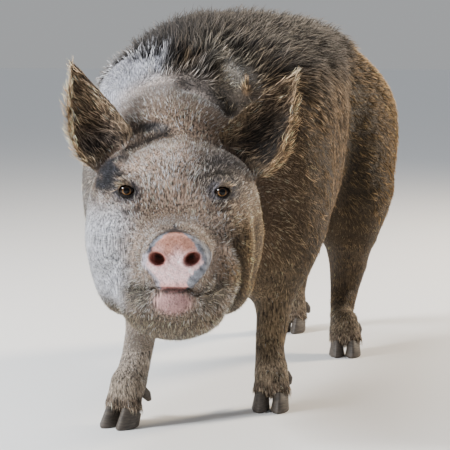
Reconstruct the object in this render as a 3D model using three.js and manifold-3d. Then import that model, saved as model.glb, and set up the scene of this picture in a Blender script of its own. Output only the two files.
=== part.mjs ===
// A life-size standing pot-bellied cross pig, parted into its named sub-parts by thin cuts.
// Millimetres, +Z up. The pig faces -Y and its left side is +X. It stands on its hooves at Z = 0.
// The flesh is one smooth body made of rounded masses that flow into each other. Each part is the share
// of that body which lies between its cuts. The outline is that of the coat's tips.
import * as THREE from "three";
import { mergeVertices } from "three/addons/utils/BufferGeometryUtils.js";
import Module from "manifold-3d";

const wasm = await Module();
wasm.setup();

const GRID_SHIFTS = [0, 0.31, 0.57, 0.79, 0.13, 0.43, 0.67, 0.91]; // in cells
const GAP = 0.3; // open space left between two parts
const SLOT = 1; // open space round a root that is let into the flesh
const CELL = { head: 20.5, neck: 36, jaw: 18, snout: 13, trunk: 52 }; // how finely each is meshed
const FAR = 3000; // half-size of the blocks that part the body
const BOX = {
  // the lowest and highest corner of the space each part is meshed in
  head: [[-230, -670, 120], [190, -300, 500]],
  neck: [[-270, -480, 80], [230, -190, 660]],
  jaw: [[-140, -670, 120], [180, -480, 290]],
  snout: [[-19, -682, 220], [131, -592, 350]],
  trunk: [[-300, -400, 90], [300, 600, 700]],
};

// ---------------------------------------------------------------- named sizes: trunk and neck
// Each ring of the trunk: [y, x of the middle, half width, top, bottom, height of the widest place as a
// share of the ring's height, and how square it is above that place: 2 is an ellipse, more is squarer]
const TRUNK_RINGS = [
  [-440, -34, 94, 430, 200, 0.5, 2.1],
  [-370, -29, 124, 506, 184, 0.5, 2.1],
  [-300, -27, 176, 590, 174, 0.5, 2.1],
  [-200, -25, 196, 630, 170, 0.54, 2.2],
  [-60, -28, 192, 640, 162, 0.62, 2.7],
  [70, -36, 182, 638, 156, 0.64, 2.8],
  [190, -30, 154, 637, 176, 0.6, 2.9],
  [300, 4, 134, 628, 236, 0.52, 2.5],
  [390, 20, 122, 594, 300, 0.5, 2.1],
  [470, 24, 88, 536, 360, 0.5, 2.1],
];
const NECK_BEND = { from: -240, to: -400, slant: 0.32 }; // the neck's rings follow the turned head
const TRUNK_SQUARE = 2.1; // how square it is below its widest place
const RUMP = { at: [26, 398, 440], size: [142, 138, 152] };
const CREST = { at: [-50, -366, 452], size: [98, 66, 80] }; // fat roll behind the poll
const BRISKET = { at: [-28, -355, 262], size: [100, 95, 92] };
const MASSES = [
  { at: [-128, -242, 488], size: [80, 112, 92] }, // right shoulder blade
  { at: [82, -228, 486], size: [80, 112, 92] }, // left shoulder blade
  { at: [88, -232, 350], size: [84, 108, 150] }, // left shoulder
  { at: [-128, -272, 350], size: [84, 112, 150] }, // right shoulder
  { at: [110, 328, 376], size: [74, 108, 160] }, // left ham
  { at: [-56, 352, 372], size: [76, 124, 158] }, // right ham
];

// ---------------------------------------------------------------- named sizes: legs
// Each leg is a run of rounds from the body to the fetlock: [x, y, z, radius]
const LEGS = {
  left_foreleg: [
    [90, -224, 300, 64],
    [89, -222, 232, 47],
    [85, -228, 176, 33],
    [83, -234, 144, 30.5],
    [79, -238, 103, 26.5],
    [82, -244, 63, 28.5],
    [84, -250, 46, 22],
  ],
  right_foreleg: [
    [-118, -292, 300, 66],
    [-110, -318, 232, 52],
    [-98, -350, 176, 34],
    [-95, -372, 140, 28],
    [-96, -390, 105, 26.5],
    [-101, -408, 63, 28.5],
    [-105, -417, 46, 22],
  ],
  left_hindleg: [
    [98, 300, 300, 76],
    [97, 306, 228, 57],
    [93, 322, 172, 42],
    [86, 322, 118, 31],
    [87, 292, 78, 25.5],
    [95, 260, 48, 27],
    [101, 246, 40, 22],
  ],
  right_hindleg: [
    [-52, 372, 300, 76],
    [-54, 410, 228, 57],
    [-54, 462, 172, 42],
    [-54, 494, 120, 31],
    [-55, 490, 80, 25.5],
    [-56, 482, 48, 27],
    [-56, 475, 40, 22],
  ],
};
const LEG_DEPTH = 1.12; // a leg is deeper from front to back than it is wide
const LEG_AROUND = 12; // corners in each level ring of a leg
const LEG_LEVELS = [0, 0.07, 0.16, 0.27, 0.4, 0.53, 0.66, 0.8, 1]; // heights of the rings, as shares
const LEG_OVER = 25; // how far a leg is made past its plug before the plug trims it
// The plug-shaped cut that parts a leg from the body: its radius, the height of its flat top, and the
// x of the plane between the two legs of a pair.
const LEG_PLUG = {
  fore: { radius: 82, top: 262, middle: -10 },
  hind: { radius: 104, top: 262, middle: 21 },
};
const PLUG_AROUND = 12;
const PLUG_STRAIGHT = 120; // below this height the plug goes straight down
const PLUG_LOW = -30; // and this is where it ends

// ---------------------------------------------------------------- named sizes: feet
const CLAW = {
  length: 52,
  width: 30,
  toe_height: 33,
  heel_height: 16,
  apart: 31,
  slope: 15, // how far the coronet lies behind the sole
  pointed: 0.5, // how much the outer wall draws in towards the toe
  inner_pointed: 0.14, // and the wall between the two claws
  flat: 0.97, // how far that wall is pressed in
  around: 12,
  levels: [
    { rise: 0, wide: 0.9 },
    { rise: 0.15, wide: 1 },
    { rise: 1, wide: 0.8 },
  ],
};
const DEWCLAW = {
  radius: 9,
  reach: 16, // how far it hangs back from its root
  drop: 22, // and how far down
  spread: 4,
  apart: 40,
  height: 57,
  back: 36,
  around: 8,
  levels: [
    { along: 0, wide: 0.8 },
    { along: 0.5, wide: 1 },
    { along: 1, wide: 0.5 },
  ],
};
const FEET = {
  // the middle of the sole, and which way the toes point (degrees to the pig's left)
  left_fore: { at: [86, -262], turn: 6, leg: "left_foreleg" },
  right_fore: { at: [-112, -434], turn: -14, leg: "right_foreleg" },
  left_hind: { at: [106, 232], turn: 8, leg: "left_hindleg" },
  right_hind: { at: [-57, 462], turn: -4, leg: "right_hindleg" },
};
// The two toes of a foot, from the fetlock to the top of each claw: beside, ahead, height, radius
const TOE = [
  [4, -22, 66, 22],
  [13.5, -16, 35, 20],
];
const TOES_BELOW = 110; // no toe reaches over this height
const FLESH_FLOOR = 15; // the flesh of the feet ends at this height, and only claws stand on the floor

// ---------------------------------------------------------------- named sizes: head
// The head has its own frame: a to the pig's left, b back from the snout disc, c up.
const SNOUT_CENTRE = [51, -652, 290];
const HEAD_TURN = 18 * (Math.PI / 180); // to the pig's left
const HEAD_MASSES = [
  { at: [0, 208, 64], size: [98, 96, 96] }, // skull
  { at: [0, 160, 92], size: [68, 52, 48] }, // forehead
  { at: [0, 98, 8], size: [64, 98, 50] }, // muzzle
  { at: [60, 150, 80], size: [34, 42, 28], pair: true }, // brow
  { at: [76, 212, 56], size: [52, 80, 80], pair: true }, // temple
  { at: [66, 140, 18], size: [60, 70, 64], pair: true }, // cheek
  { at: [74, 204, -10], size: [56, 86, 98], pair: true }, // jowl
  { at: [0, 118, -66], size: [84, 92, 64] }, // throat
  { at: [0, 60, -56], size: [44, 52, 36] }, // chin
];
const HEAD_BLEND = 34;
const DISC = { half_width: 46, half_height: 40, back: 60, edge: 8, blend: 16 };
const NOSTRIL = { apart: 47, height: 4, size: [10.5, 16, 7.5], around: 12, high: 8 };
const BALL = { around: 14, high: 8 }; // corners and bands of an eye
const LIP = { at: [0, 28, -60], size: [30, 24, 20], blend: 10 };
const EYE = { radius: 12, beside: 69.5, up: 86, proud: 3.5 };
// How widely the masses flow into each other where they meet
const FLOW = { rump: 60, crest: 40, brisket: 60, mass: 46, leg: 44, toe: 10, head: 40 };

// ---------------------------------------------------------------- named sizes: ears and tail
const EARS = {
  // the two ends of the root and the tip, in the head's frame
  left_ear: { side: 1, inner: [68, 236, 166], outer: [118, 208, 88], tip: [184, 246, 257] },
  right_ear: { side: -1, inner: [-62, 236, 168], outer: [-112, 208, 100], tip: [-152, 250, 270] },
};
const EAR = {
  bulge: 30, // how far the outer edge swings out
  inner_bulge: 4,
  cup: 40, // how deep the root is cupped
  thick: 9,
  lean: 10,
  blunt: 0.985, // where along the leaf its tip ends
  rings: 8,
  around: 14,
};
const TAIL = [
  [24, 500, 500, 21],
  [25, 541, 478, 17],
  [27, 562, 440, 12],
  [27, 562, 390, 10],
  [24, 556, 340, 12],
  [22, 553, 300, 15],
  [20, 551, 250, 4],
];
const TAIL_AROUND = 10;

// ---------------------------------------------------------------- smooth bodies
// The distances are below zero inside a body and above zero outside it.

/** Joins two bodies with a fillet about as wide as `reach`. */
function blend(a, b, reach) {
  const near = Math.max(reach - Math.abs(a - b), 0) / reach;
  return Math.min(a, b) - near * near * reach * 0.25;
}

/** Distance to an egg-shaped mass. */
function egg(x, y, z, at, size) {
  const [u, v, w] = [x - at[0], y - at[1], z - at[2]];
  const near = Math.hypot(u / size[0], v / size[1], w / size[2]);
  const slope = Math.hypot(u / size[0] ** 2, v / size[1] ** 2, w / size[2] ** 2);
  return slope < 1e-9 ? -Math.min(...size) : (near * (near - 1)) / slope;
}

/** Distance to a run of rounds joined by cones, deeper along y by `depth`. */
function limb(x, y, z, rounds, depth = 1) {
  let best = Infinity;
  for (let i = 0; i + 1 < rounds.length; i += 1) {
    const [p, q] = [rounds[i], rounds[i + 1]];
    const run = [q[0] - p[0], (q[1] - p[1]) / depth, q[2] - p[2]];
    const off = [x - p[0], (y - p[1]) / depth, z - p[2]];
    const along = off[0] * run[0] + off[1] * run[1] + off[2] * run[2];
    const t = THREE.MathUtils.clamp(along / (run[0] ** 2 + run[1] ** 2 + run[2] ** 2), 0, 1);
    const gone = Math.hypot(off[0] - run[0] * t, off[1] - run[1] * t, off[2] - run[2] * t);
    best = Math.min(best, gone - THREE.MathUtils.lerp(p[3], q[3], t));
  }
  return best;
}

/** The trunk's ring at `y`, with its other values in their order, on smooth curves through the rings. */
function ringAt(y) {
  const rings = TRUNK_RINGS;
  const last = rings.length - 1;
  const held = THREE.MathUtils.clamp(y, rings[0][0], rings[last][0]);
  let i = 0;
  while (i < last - 1 && rings[i + 1][0] < held) i += 1;
  const t = (held - rings[i][0]) / (rings[i + 1][0] - rings[i][0]);
  const before = rings[Math.max(i - 1, 0)];
  const after = rings[Math.min(i + 2, last)];
  return [1, 2, 3, 4, 5, 6].map((k) => {
    const [p, q, step] = [rings[i][k], rings[i + 1][k], rings[i + 1][0] - rings[i][0]];
    const m = ((q - before[k]) / (rings[i + 1][0] - before[0])) * step;
    const n = ((after[k] - p) / (after[0] - rings[i][0])) * step;
    const [t2, t3] = [t * t, t * t * t];
    return (2 * t3 - 3 * t2 + 1) * p + (t3 - 2 * t2 + t) * m + (3 * t2 - 2 * t3) * q + (t3 - t2) * n;
  });
}

/** Distance to the trunk and neck. */
function trunk(x, y, z) {
  const bent = THREE.MathUtils.smoothstep(-y, -NECK_BEND.from, -NECK_BEND.to) * NECK_BEND.slant;
  const along = y - bent * (x - TRUNK_RINGS[0][1]);
  const [middle, half, top, bottom, waist, square] = ringAt(along);
  const level = bottom + (top - bottom) * waist;
  const [u, w] = [x - middle, z - level];
  const [high, power] = w > 0 ? [top - level, square] : [level - bottom, TRUNK_SQUARE];
  const near = (Math.abs(u / half) ** power + Math.abs(w / high) ** power) ** (1 / power);
  const ring = near < 1e-6 ? -Math.min(half, high) : Math.hypot(u, w) * (1 - 1 / near);
  const past = Math.max(TRUNK_RINGS[0][0] - along, along - TRUNK_RINGS.at(-1)[0]);
  return past <= 0 ? Math.max(ring, past) : Math.hypot(Math.max(ring, 0), past) || past;
}

/** A point of the body in the head's own frame. */
function toHead(x, y, z) {
  const [u, v] = [x - SNOUT_CENTRE[0], y - SNOUT_CENTRE[1]];
  const [s, c] = [Math.sin(HEAD_TURN), Math.cos(HEAD_TURN)];
  return [u * c + v * s, v * c - u * s, z - SNOUT_CENTRE[2]];
}

/** A group that holds things given in the head's frame. */
function inHeadFrame(geometry) {
  return geometry.rotateZ(HEAD_TURN).translate(...SNOUT_CENTRE);
}

/** Distance to the head without its ears. */
function head(x, y, z) {
  const [a, b, c] = toHead(x, y, z);
  let near = FAR;
  for (const { at, size, pair } of HEAD_MASSES) {
    near = blend(near, egg(pair ? Math.abs(a) : a, b, c, at, size), HEAD_BLEND);
  }
  // the snout: a short round column that ends in the flat disc
  const wide = Math.hypot(a / DISC.half_width, c / DISC.half_height);
  const column = wide < 1e-6 ? -DISC.half_height : Math.hypot(a, c) * (1 - 1 / wide);
  const { edge } = DISC;
  const ends = Math.max(-b, b - DISC.back);
  const [over, past] = [column + edge, ends + edge];
  const disc = Math.min(Math.max(over, past), 0) + Math.hypot(Math.max(over, 0), Math.max(past, 0)) - edge;
  near = blend(near, disc, DISC.blend);
  return blend(near, egg(a, b, c, LIP.at, LIP.size), LIP.blend);
}

/** Each foot's two toes as runs of rounds in the body's frame. */
const TOES = Object.values(FEET).flatMap((foot) => [1, -1].map((side) => TOE.map((round) => {
  const [beside, ahead, up, radius] = round;
  return [...footPoint(foot, side * beside, ahead, up).toArray(), radius];
})));

/** Distance to the whole of the flesh, without ears and hooves. */
function flesh(x, y, z) {
  let near = blend(trunk(x, y, z), egg(x, y, z, RUMP.at, RUMP.size), FLOW.rump);
  near = blend(near, egg(x, y, z, CREST.at, CREST.size), FLOW.crest);
  near = blend(near, egg(x, y, z, BRISKET.at, BRISKET.size), FLOW.brisket);
  for (const { at, size } of MASSES) near = blend(near, egg(x, y, z, at, size), FLOW.mass);
  for (const rounds of Object.values(LEGS)) {
    near = blend(near, limb(x, y, z, rounds, LEG_DEPTH), FLOW.leg);
  }
  if (z < TOES_BELOW) {
    for (const rounds of TOES) near = blend(near, limb(x, y, z, rounds, LEG_DEPTH), FLOW.toe);
  }
  return blend(near, head(x, y, z), FLOW.head);
}

// ---------------------------------------------------------------- from smooth bodies to closed meshes

// The two ends of each of the twelve edges of a cell
const CELL_EDGES = [0, 1, 2].flatMap((axis) => [[0, 0], [0, 1], [1, 0], [1, 1]].map(([u, v]) => {
  const from = [u, v];
  from.splice(axis, 0, 0);
  return [from, from.map((n, k) => (k === axis ? 1 : n))];
}));

/** A closed mesh of where `body` is below zero inside the box, with one vertex in each cell it crosses. */
function skin(body, low, high, cell) {
  const count = [0, 1, 2].map((k) => Math.ceil((high[k] - low[k]) / cell) + 2);
  const at = (k, i) => low[k] + (i - 1) * cell;
  const index = (i, j, k) => (i * (count[1] + 1) + j) * (count[2] + 1) + k;
  const value = new Float64Array((count[0] + 1) * (count[1] + 1) * (count[2] + 1));
  for (let i = 0; i <= count[0]; i += 1)
    for (let j = 0; j <= count[1]; j += 1)
      for (let k = 0; k <= count[2]; k += 1) {
        const rim = i * j * k === 0 || i === count[0] || j === count[1] || k === count[2];
        value[index(i, j, k)] = rim ? cell : body(at(0, i), at(1, j), at(2, k)) || 1e-6;
      }
  const points = [];
  const vertexOf = new Map();
  for (let i = 0; i < count[0]; i += 1)
    for (let j = 0; j < count[1]; j += 1)
      for (let k = 0; k < count[2]; k += 1) {
        const sum = [0, 0, 0];
        let crossed = 0;
        for (const [p, q] of CELL_EDGES) {
          const v = value[index(i + p[0], j + p[1], k + p[2])];
          const w = value[index(i + q[0], j + q[1], k + q[2])];
          if (v < 0 === w < 0) continue;
          const t = v / (v - w);
          [i, j, k].forEach((n, axis) => {
            sum[axis] += at(axis, n + p[axis] + (q[axis] - p[axis]) * t);
          });
          crossed += 1;
        }
        if (!crossed) continue;
        vertexOf.set(index(i, j, k), points.length / 3);
        points.push(...settle(body, sum.map((n) => n / crossed), low, high, cell));
      }
  const faces = [];
  for (let i = 0; i < count[0]; i += 1)
    for (let j = 0; j < count[1]; j += 1)
      for (let k = 0; k < count[2]; k += 1) {
        const inside = value[index(i, j, k)] < 0;
        const around = [
          [index(i + 1, j, k), [[0, -1, -1], [0, 0, -1], [0, 0, 0], [0, -1, 0]]],
          [index(i, j + 1, k), [[-1, 0, -1], [-1, 0, 0], [0, 0, 0], [0, 0, -1]]],
          [index(i, j, k + 1), [[-1, -1, 0], [0, -1, 0], [0, 0, 0], [-1, 0, 0]]],
        ];
        for (const [next, cells] of around) {
          if (value[next] < 0 === inside) continue;
          const quad = cells.map(([u, v, w]) => vertexOf.get(index(i + u, j + v, k + w)));
          if (!inside) quad.reverse();
          faces.push(...splitQuad(quad, points));
        }
      }
  const geometry = new THREE.BufferGeometry();
  geometry.setAttribute("position", new THREE.BufferAttribute(new Float32Array(points), 3));
  return geometry.setIndex(faces);
}

/** Moves a point onto the body's surface, by no more than half a cell. */
function settle(body, start, low, high, cell) {
  const step = 0.5;
  let [x, y, z] = start;
  for (let turn = 0; turn < 3; turn += 1) {
    const v = body(x, y, z);
    const slope = [
      (body(x + step, y, z) - body(x - step, y, z)) / (2 * step),
      (body(x, y + step, z) - body(x, y - step, z)) / (2 * step),
      (body(x, y, z + step) - body(x, y, z - step)) / (2 * step),
    ];
    const steep = slope[0] ** 2 + slope[1] ** 2 + slope[2] ** 2;
    if (steep < 1e-6) break;
    const by = THREE.MathUtils.clamp(v / steep, -cell / 2, cell / 2);
    [x, y, z] = [x - slope[0] * by, y - slope[1] * by, z - slope[2] * by];
  }
  const kept = [x, y, z].map((n, k) => THREE.MathUtils.clamp(n, start[k] - cell / 2, start[k] + cell / 2));
  const rim = start.some((n, k) => n < low[k] || n > high[k]);
  return rim ? start : kept;
}

/** Two triangles for a four-sided face, parted along its shorter diagonal. */
function splitQuad(quad, points) {
  const gap = (m, n) => Math.hypot(...[0, 1, 2].map((k) => points[3 * m + k] - points[3 * n + k]));
  const [a, b, c, d] = quad;
  return gap(a, c) <= gap(b, d) ? [a, b, c, a, c, d] : [b, c, d, b, d, a];
}

/** A solid for cutting and joining. */
function solid(geometry) {
  const plain = geometry.clone();
  plain.deleteAttribute("normal");
  plain.deleteAttribute("uv");
  const merged = mergeVertices(plain, 1e-3);
  return new wasm.Manifold(
    new wasm.Mesh({
      numProp: 3,
      vertProperties: new Float32Array(merged.attributes.position.array),
      triVerts: new Uint32Array(merged.index.array),
    }),
  );
}

/** The half of space behind the plane through `point` that faces `facing`, held back by half the gap. */
function behind(point, facing) {
  const normal = new THREE.Vector3(...facing).normalize();
  const block = new THREE.BoxGeometry(2 * FAR, 2 * FAR, 2 * FAR).translate(0, 0, -FAR - GAP / 2);
  block.applyQuaternion(new THREE.Quaternion().setFromUnitVectors(new THREE.Vector3(0, 0, 1), normal));
  return solid(block.translate(...point));
}

/** The cut's two sides: everything behind it and everything ahead of it. */
function cut(point, facing) {
  return { back: behind(point, facing), front: behind(point, facing.map((n) => -n)) };
}

// ---------------------------------------------------------------- the cuts
const headPoint = (a, b, c) => {
  const [s, k] = [Math.sin(HEAD_TURN), Math.cos(HEAD_TURN)];
  return [SNOUT_CENTRE[0] + a * k - b * s, SNOUT_CENTRE[1] + a * s + b * k, SNOUT_CENTRE[2] + c];
};
const headFacing = (a, b, c) => {
  const [s, k] = [Math.sin(HEAD_TURN), Math.cos(HEAD_TURN)];
  return [a * k - b * s, a * s + b * k, c];
};
const NECK_CUT = cut([-26, -318, 380], [0, -1, 0.22]);
const HEAD_CUT = cut(headPoint(0, 270, 60), headFacing(0, -1, -0.2));
const SNOUT_CUT = cut(headPoint(0, 34, 0), headFacing(0, -1, 0));
const MOUTH_CUT = cut(headPoint(0, 0, -41), headFacing(0, -0.12, -1));
const JAW_CUT = cut(headPoint(0, 72, -41), headFacing(0, -1, -0.9));

/** A solid mesh of a smooth body, tried on shifted grids until it is one closed surface. */
function meshed(body, low, high, cell) {
  for (const shift of GRID_SHIFTS) {
    const start = low.map((n) => n - shift * cell);
    try {
      return solid(skin(body, start, high, cell));
    } catch (error) {
      if (!String(error).includes("manifold")) throw error;
    }
  }
  throw new Error("no grid gives a closed surface");
}

/** One part of the flesh: meshed in its own box and kept between its cuts. */
function share(body, [low, high], cell, sides) {
  let kept = meshed(body, low, high, cell);
  for (const side of sides) kept = kept.intersect(side);
  return largest(kept);
}

/** The largest of the pieces a solid falls into. */
function largest(made) {
  return made.decompose().sort((a, b) => b.volume() - a.volume())[0];
}

/** A ring of `count` points, each made from the cosine and sine of its turn. */
function aroundRing(count, pointAt) {
  return Array.from({ length: count }, (_, j) => {
    const turn = (2 * Math.PI * j) / count;
    return pointAt(Math.cos(turn), Math.sin(turn), turn);
  });
}

/** A closed solid through rings of points that all have the same count. */
function loft(rings) {
  const count = rings[0].length;
  const faces = [];
  for (let i = 0; i + 1 < rings.length; i += 1)
    for (let j = 0; j < count; j += 1) {
      const [p, q] = [i * count + j, i * count + ((j + 1) % count)];
      faces.push(p, q, q + count, p, q + count, p + count);
    }
  const top = (rings.length - 1) * count;
  for (let j = 0; j < count / 2; j += 1) {
    const [p, q, r, s] = [j, j + 1, (count - j - 1) % count, (count - j) % count];
    if (s !== p) faces.push(p, s, r, top + p, top + r, top + s);
    if (q !== r) faces.push(p, r, q, top + p, top + q, top + r);
  }
  const geometry = new THREE.BufferGeometry().setFromPoints(rings.flat()).setIndex(faces);
  const made = solid(geometry);
  return made.volume() > 0 ? made : solid(geometry.setIndex(faces.reverse()));
}

/** The same rings moved outwards by `by`, for the space round a solid that is let into another. */
function grownRings(rings, by) {
  const sumOf = (ring) => ring.reduce((sum, p) => sum.add(p), new THREE.Vector3());
  const middle = (ring) => sumOf(ring).divideScalar(ring.length);
  const axis = middle(rings[rings.length - 1]).sub(middle(rings[0])).normalize();
  return rings.map((ring, i) => {
    const normal = new THREE.Vector3();
    ring.forEach((p, j) => normal.add(p.clone().cross(ring[(j + 1) % ring.length])));
    const end = i === 0 ? -by : i === rings.length - 1 ? by : 0;
    const outOf = (from, to) => to.clone().sub(from).cross(normal).normalize();
    return ring.map((p, j) => {
      const before = outOf(ring[(j + ring.length - 1) % ring.length], p);
      const after = outOf(p, ring[(j + 1) % ring.length]);
      const out = before.clone().add(after).normalize();
      const far = by / Math.max(out.dot(before), 0.3);
      return p.clone().addScaledVector(out, far).addScaledVector(axis, end);
    });
  });
}

// ---------------------------------------------------------------- the parts
const parts = new Map();

/** A ball or egg given in the head's frame, with `around` corners and `high` bands. */
function headEgg(at, size, { around, high }) {
  const ball = new THREE.SphereGeometry(1, around, high).rotateX(Math.PI / 2);
  return solid(inHeadFrame(ball.scale(...size).translate(...at)));
}

/** The rings of a leaf between its inner and outer edges, cupped towards the front. */
function earRings({ side, inner, outer, tip }) {
  const [root, wing, point] = [inner, outer, tip].map((p) => new THREE.Vector3(...p));
  const across = wing.clone().sub(root).normalize();
  const along = point.clone().sub(root.clone().lerp(wing, 0.5)).normalize();
  const open = new THREE.Vector3().crossVectors(across, along).multiplyScalar(side).normalize();
  const outwards = across.clone().addScaledVector(along, -across.dot(along)).normalize();
  const rings = [];
  for (let i = 0; i <= EAR.rings; i += 1) {
    const t = (i / EAR.rings) * EAR.blunt;
    const swell = Math.sin(Math.PI * t);
    const from = root.clone().lerp(point, t).addScaledVector(outwards, -EAR.inner_bulge * swell);
    const to = wing.clone().lerp(point, t);
    to.addScaledVector(outwards, EAR.bulge * Math.sin(Math.PI * t ** 0.8));
    const middle = from.clone().lerp(to, 0.5);
    const half = to.clone().sub(from).multiplyScalar(0.5);
    const wide = half.length();
    half.normalize();
    const cupped = EAR.cup * (1 - t) ** 0.7;
    const thick = (EAR.thick / 2) * (1.5 - 0.9 * t);
    rings.push(aroundRing(EAR.around, (u, v) => {
      const rise = cupped * (u * u - 0.5) + thick * v - EAR.lean * swell;
      return headToBody(middle.clone().addScaledVector(half, wide * u).addScaledVector(open, rise));
    }));
  }
  return rings;
}

/** A point of the head's frame in the body's frame. */
function headToBody(p) {
  const turned = p.clone().applyAxisAngle(new THREE.Vector3(0, 0, 1), HEAD_TURN);
  return turned.add(new THREE.Vector3(...SNOUT_CENTRE));
}

/** Puts a foot's point, given ahead of and beside the middle of its sole, in the body's frame. */
function footPoint(foot, beside, ahead, up) {
  const turn = THREE.MathUtils.degToRad(foot.turn);
  const [s, c] = [Math.sin(turn), Math.cos(turn)];
  return new THREE.Vector3(foot.at[0] + beside * c + ahead * s, foot.at[1] + beside * s - ahead * c, up);
}

/** The rings of one claw of a cloven hoof, with a flat sole, a sloping toe and a straight inner wall. */
function clawRings(foot, side) {
  return CLAW.levels.map(({ rise, wide }) => aroundRing(CLAW.around, (u, v) => {
    const inner = u * side < 0;
    const pointed = v > 0 ? 1 - (inner ? CLAW.inner_pointed : CLAW.pointed) * v * v : 1;
    const flat = inner ? CLAW.flat : 1;
    const beside = (side * CLAW.apart) / 2 + u * (CLAW.width / 2) * wide * pointed * flat;
    const ahead = v * (CLAW.length / 2) * wide - CLAW.slope * rise;
    const high = THREE.MathUtils.lerp(CLAW.heel_height, CLAW.toe_height, (v + 1) / 2);
    return footPoint(foot, beside, ahead, rise * high);
  }));
}

/** The rings of one of the two small claws that hang behind a foot. */
function dewclawRings(foot, side) {
  return DEWCLAW.levels.map(({ along, wide }) => aroundRing(DEWCLAW.around, (u, v) => {
    const radius = DEWCLAW.radius * wide;
    const beside = side * (DEWCLAW.apart / 2 + DEWCLAW.spread * along) + u * radius;
    const back = DEWCLAW.back + DEWCLAW.reach * along + v * radius * 0.8;
    const up = DEWCLAW.height - DEWCLAW.drop * along + v * radius * 0.5;
    return footPoint(foot, beside, -back, up);
  }));
}

/** The middle of a leg at height `z`, on the straight runs between its rounds. */
function legMiddle(rounds, z) {
  let i = 0;
  while (i + 2 < rounds.length && rounds[i + 1][2] > z) i += 1;
  const [p, q] = [rounds[i], rounds[i + 1]];
  const t = (z - p[2]) / (q[2] - p[2]);
  return [p[0] + (q[0] - p[0]) * t, p[1] + (q[1] - p[1]) * t, z];
}

/** How far the flesh reaches from a point inside it, level and in one direction, up to `most`. */
function reachOf(body, [x, y, z], turn, most) {
  const inside = (r) => body(x + Math.cos(turn) * r, y + Math.sin(turn) * r, z) < 0;
  let near = 0;
  while (near < most && inside(near + 4)) near += 4;
  let far = near + 4;
  for (let i = 0; i < 8; i += 1) {
    const middle = (near + far) / 2;
    if (inside(middle)) near = middle;
    else far = middle;
  }
  return Math.min(near, most);
}

/** A leg as level rings of the flesh, from just over its claws to over its plug's top. */
function legColumn(rounds, levels, most) {
  return loft(levels.map((z) => {
    const middle = legMiddle(rounds, z);
    return aroundRing(LEG_AROUND, (u, v, turn) => {
      const r = Math.max(reachOf(flesh, middle, turn, most), 1);
      return new THREE.Vector3(middle[0] + u * r, middle[1] + v * r, z);
    });
  }));
}

/** The plug that takes a leg out of the body, `grown` by that much. */
function plug(name, grown = 0) {
  const { radius, top } = plugOf(name);
  const wide = radius + grown;
  // a level ring at height z, round the leg's middle at height `at`
  const ring = (z, at) => {
    const [x, y] = legMiddle(LEGS[name], at);
    return aroundRing(PLUG_AROUND, (u, v) => new THREE.Vector3(x + u * wide, y + v * wide, z));
  };
  return loft([ring(PLUG_LOW, PLUG_STRAIGHT), ring(PLUG_STRAIGHT, PLUG_STRAIGHT), ring(top + grown, top)]);
}

/** The plug's size for a leg of this name. */
function plugOf(name) {
  return name.includes("fore") ? LEG_PLUG.fore : LEG_PLUG.hind;
}

/** The rings of a limb, across its run of rounds. */
function limbRings(rounds, around) {
  return rounds.map(([x, y, z, r], i) => {
    const before = new THREE.Vector3(...rounds[Math.max(i - 1, 0)]);
    const after = new THREE.Vector3(...rounds[Math.min(i + 1, rounds.length - 1)]);
    const down = new THREE.Vector3(0, 0, -1);
    const turned = new THREE.Quaternion().setFromUnitVectors(down, after.sub(before).normalize());
    return aroundRing(around, (u, v) => {
      const spot = new THREE.Vector3(u, -v, 0).multiplyScalar(r);
      return spot.applyQuaternion(turned).add(new THREE.Vector3(x, y, z));
    });
  });
}

/** The middle of an eye, set back from the face's surface until it stands only a little proud of it. */
function eyeMiddle(side) {
  let back = 0;
  while (flesh(...headPoint(side * EYE.beside, back, EYE.up)) > 0) back += 0.5;
  return [side * EYE.beside, back + EYE.radius - EYE.proud, EYE.up];
}

// the head and the neck, with the ears and eyes let into them and without the forelegs' plugs
const aboveJaw = MOUTH_CUT.back.add(JAW_CUT.back);
let skull = share(flesh, BOX.head, CELL.head, [HEAD_CUT.front, SNOUT_CUT.back, aboveJaw]);
let neck = share(flesh, BOX.neck, CELL.neck, [HEAD_CUT.back, NECK_CUT.front]);
for (const [name, side] of [["left_eye", 1], ["right_eye", -1]]) {
  const at = eyeMiddle(side);
  parts.set(name, headEgg(at, Array(3).fill(EYE.radius), BALL));
  skull = skull.subtract(headEgg(at, Array(3).fill(EYE.radius + 2 * GAP), BALL));
}
for (const [name, spec] of Object.entries(EARS)) {
  parts.set(name, loft(earRings(spec)));
  const slot = loft(grownRings(earRings(spec), SLOT));
  skull = skull.subtract(slot);
  neck = neck.subtract(slot);
}
for (const name of ["left_foreleg", "right_foreleg"]) {
  skull = skull.subtract(plug(name, GAP));
  neck = neck.subtract(plug(name, GAP));
}
parts.set("head", largest(skull));
parts.set("neck", largest(neck));

// the lower jaw with its lip
parts.set("lower_jaw", share(flesh, BOX.jaw, CELL.jaw, [MOUTH_CUT.front, JAW_CUT.front]));

// the snout with its two nostrils
let snout = share(flesh, BOX.snout, CELL.snout, [SNOUT_CUT.front, MOUTH_CUT.back]);
for (const side of [1, -1]) {
  const at = [(side * NOSTRIL.apart) / 2, 0, NOSTRIL.height];
  snout = snout.subtract(headEgg(at, NOSTRIL.size, NOSTRIL));
}
parts.set("snout", largest(snout));

// the tail
const tailRings = limbRings(TAIL, TAIL_AROUND);
parts.set("tail", loft(tailRings));

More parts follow.
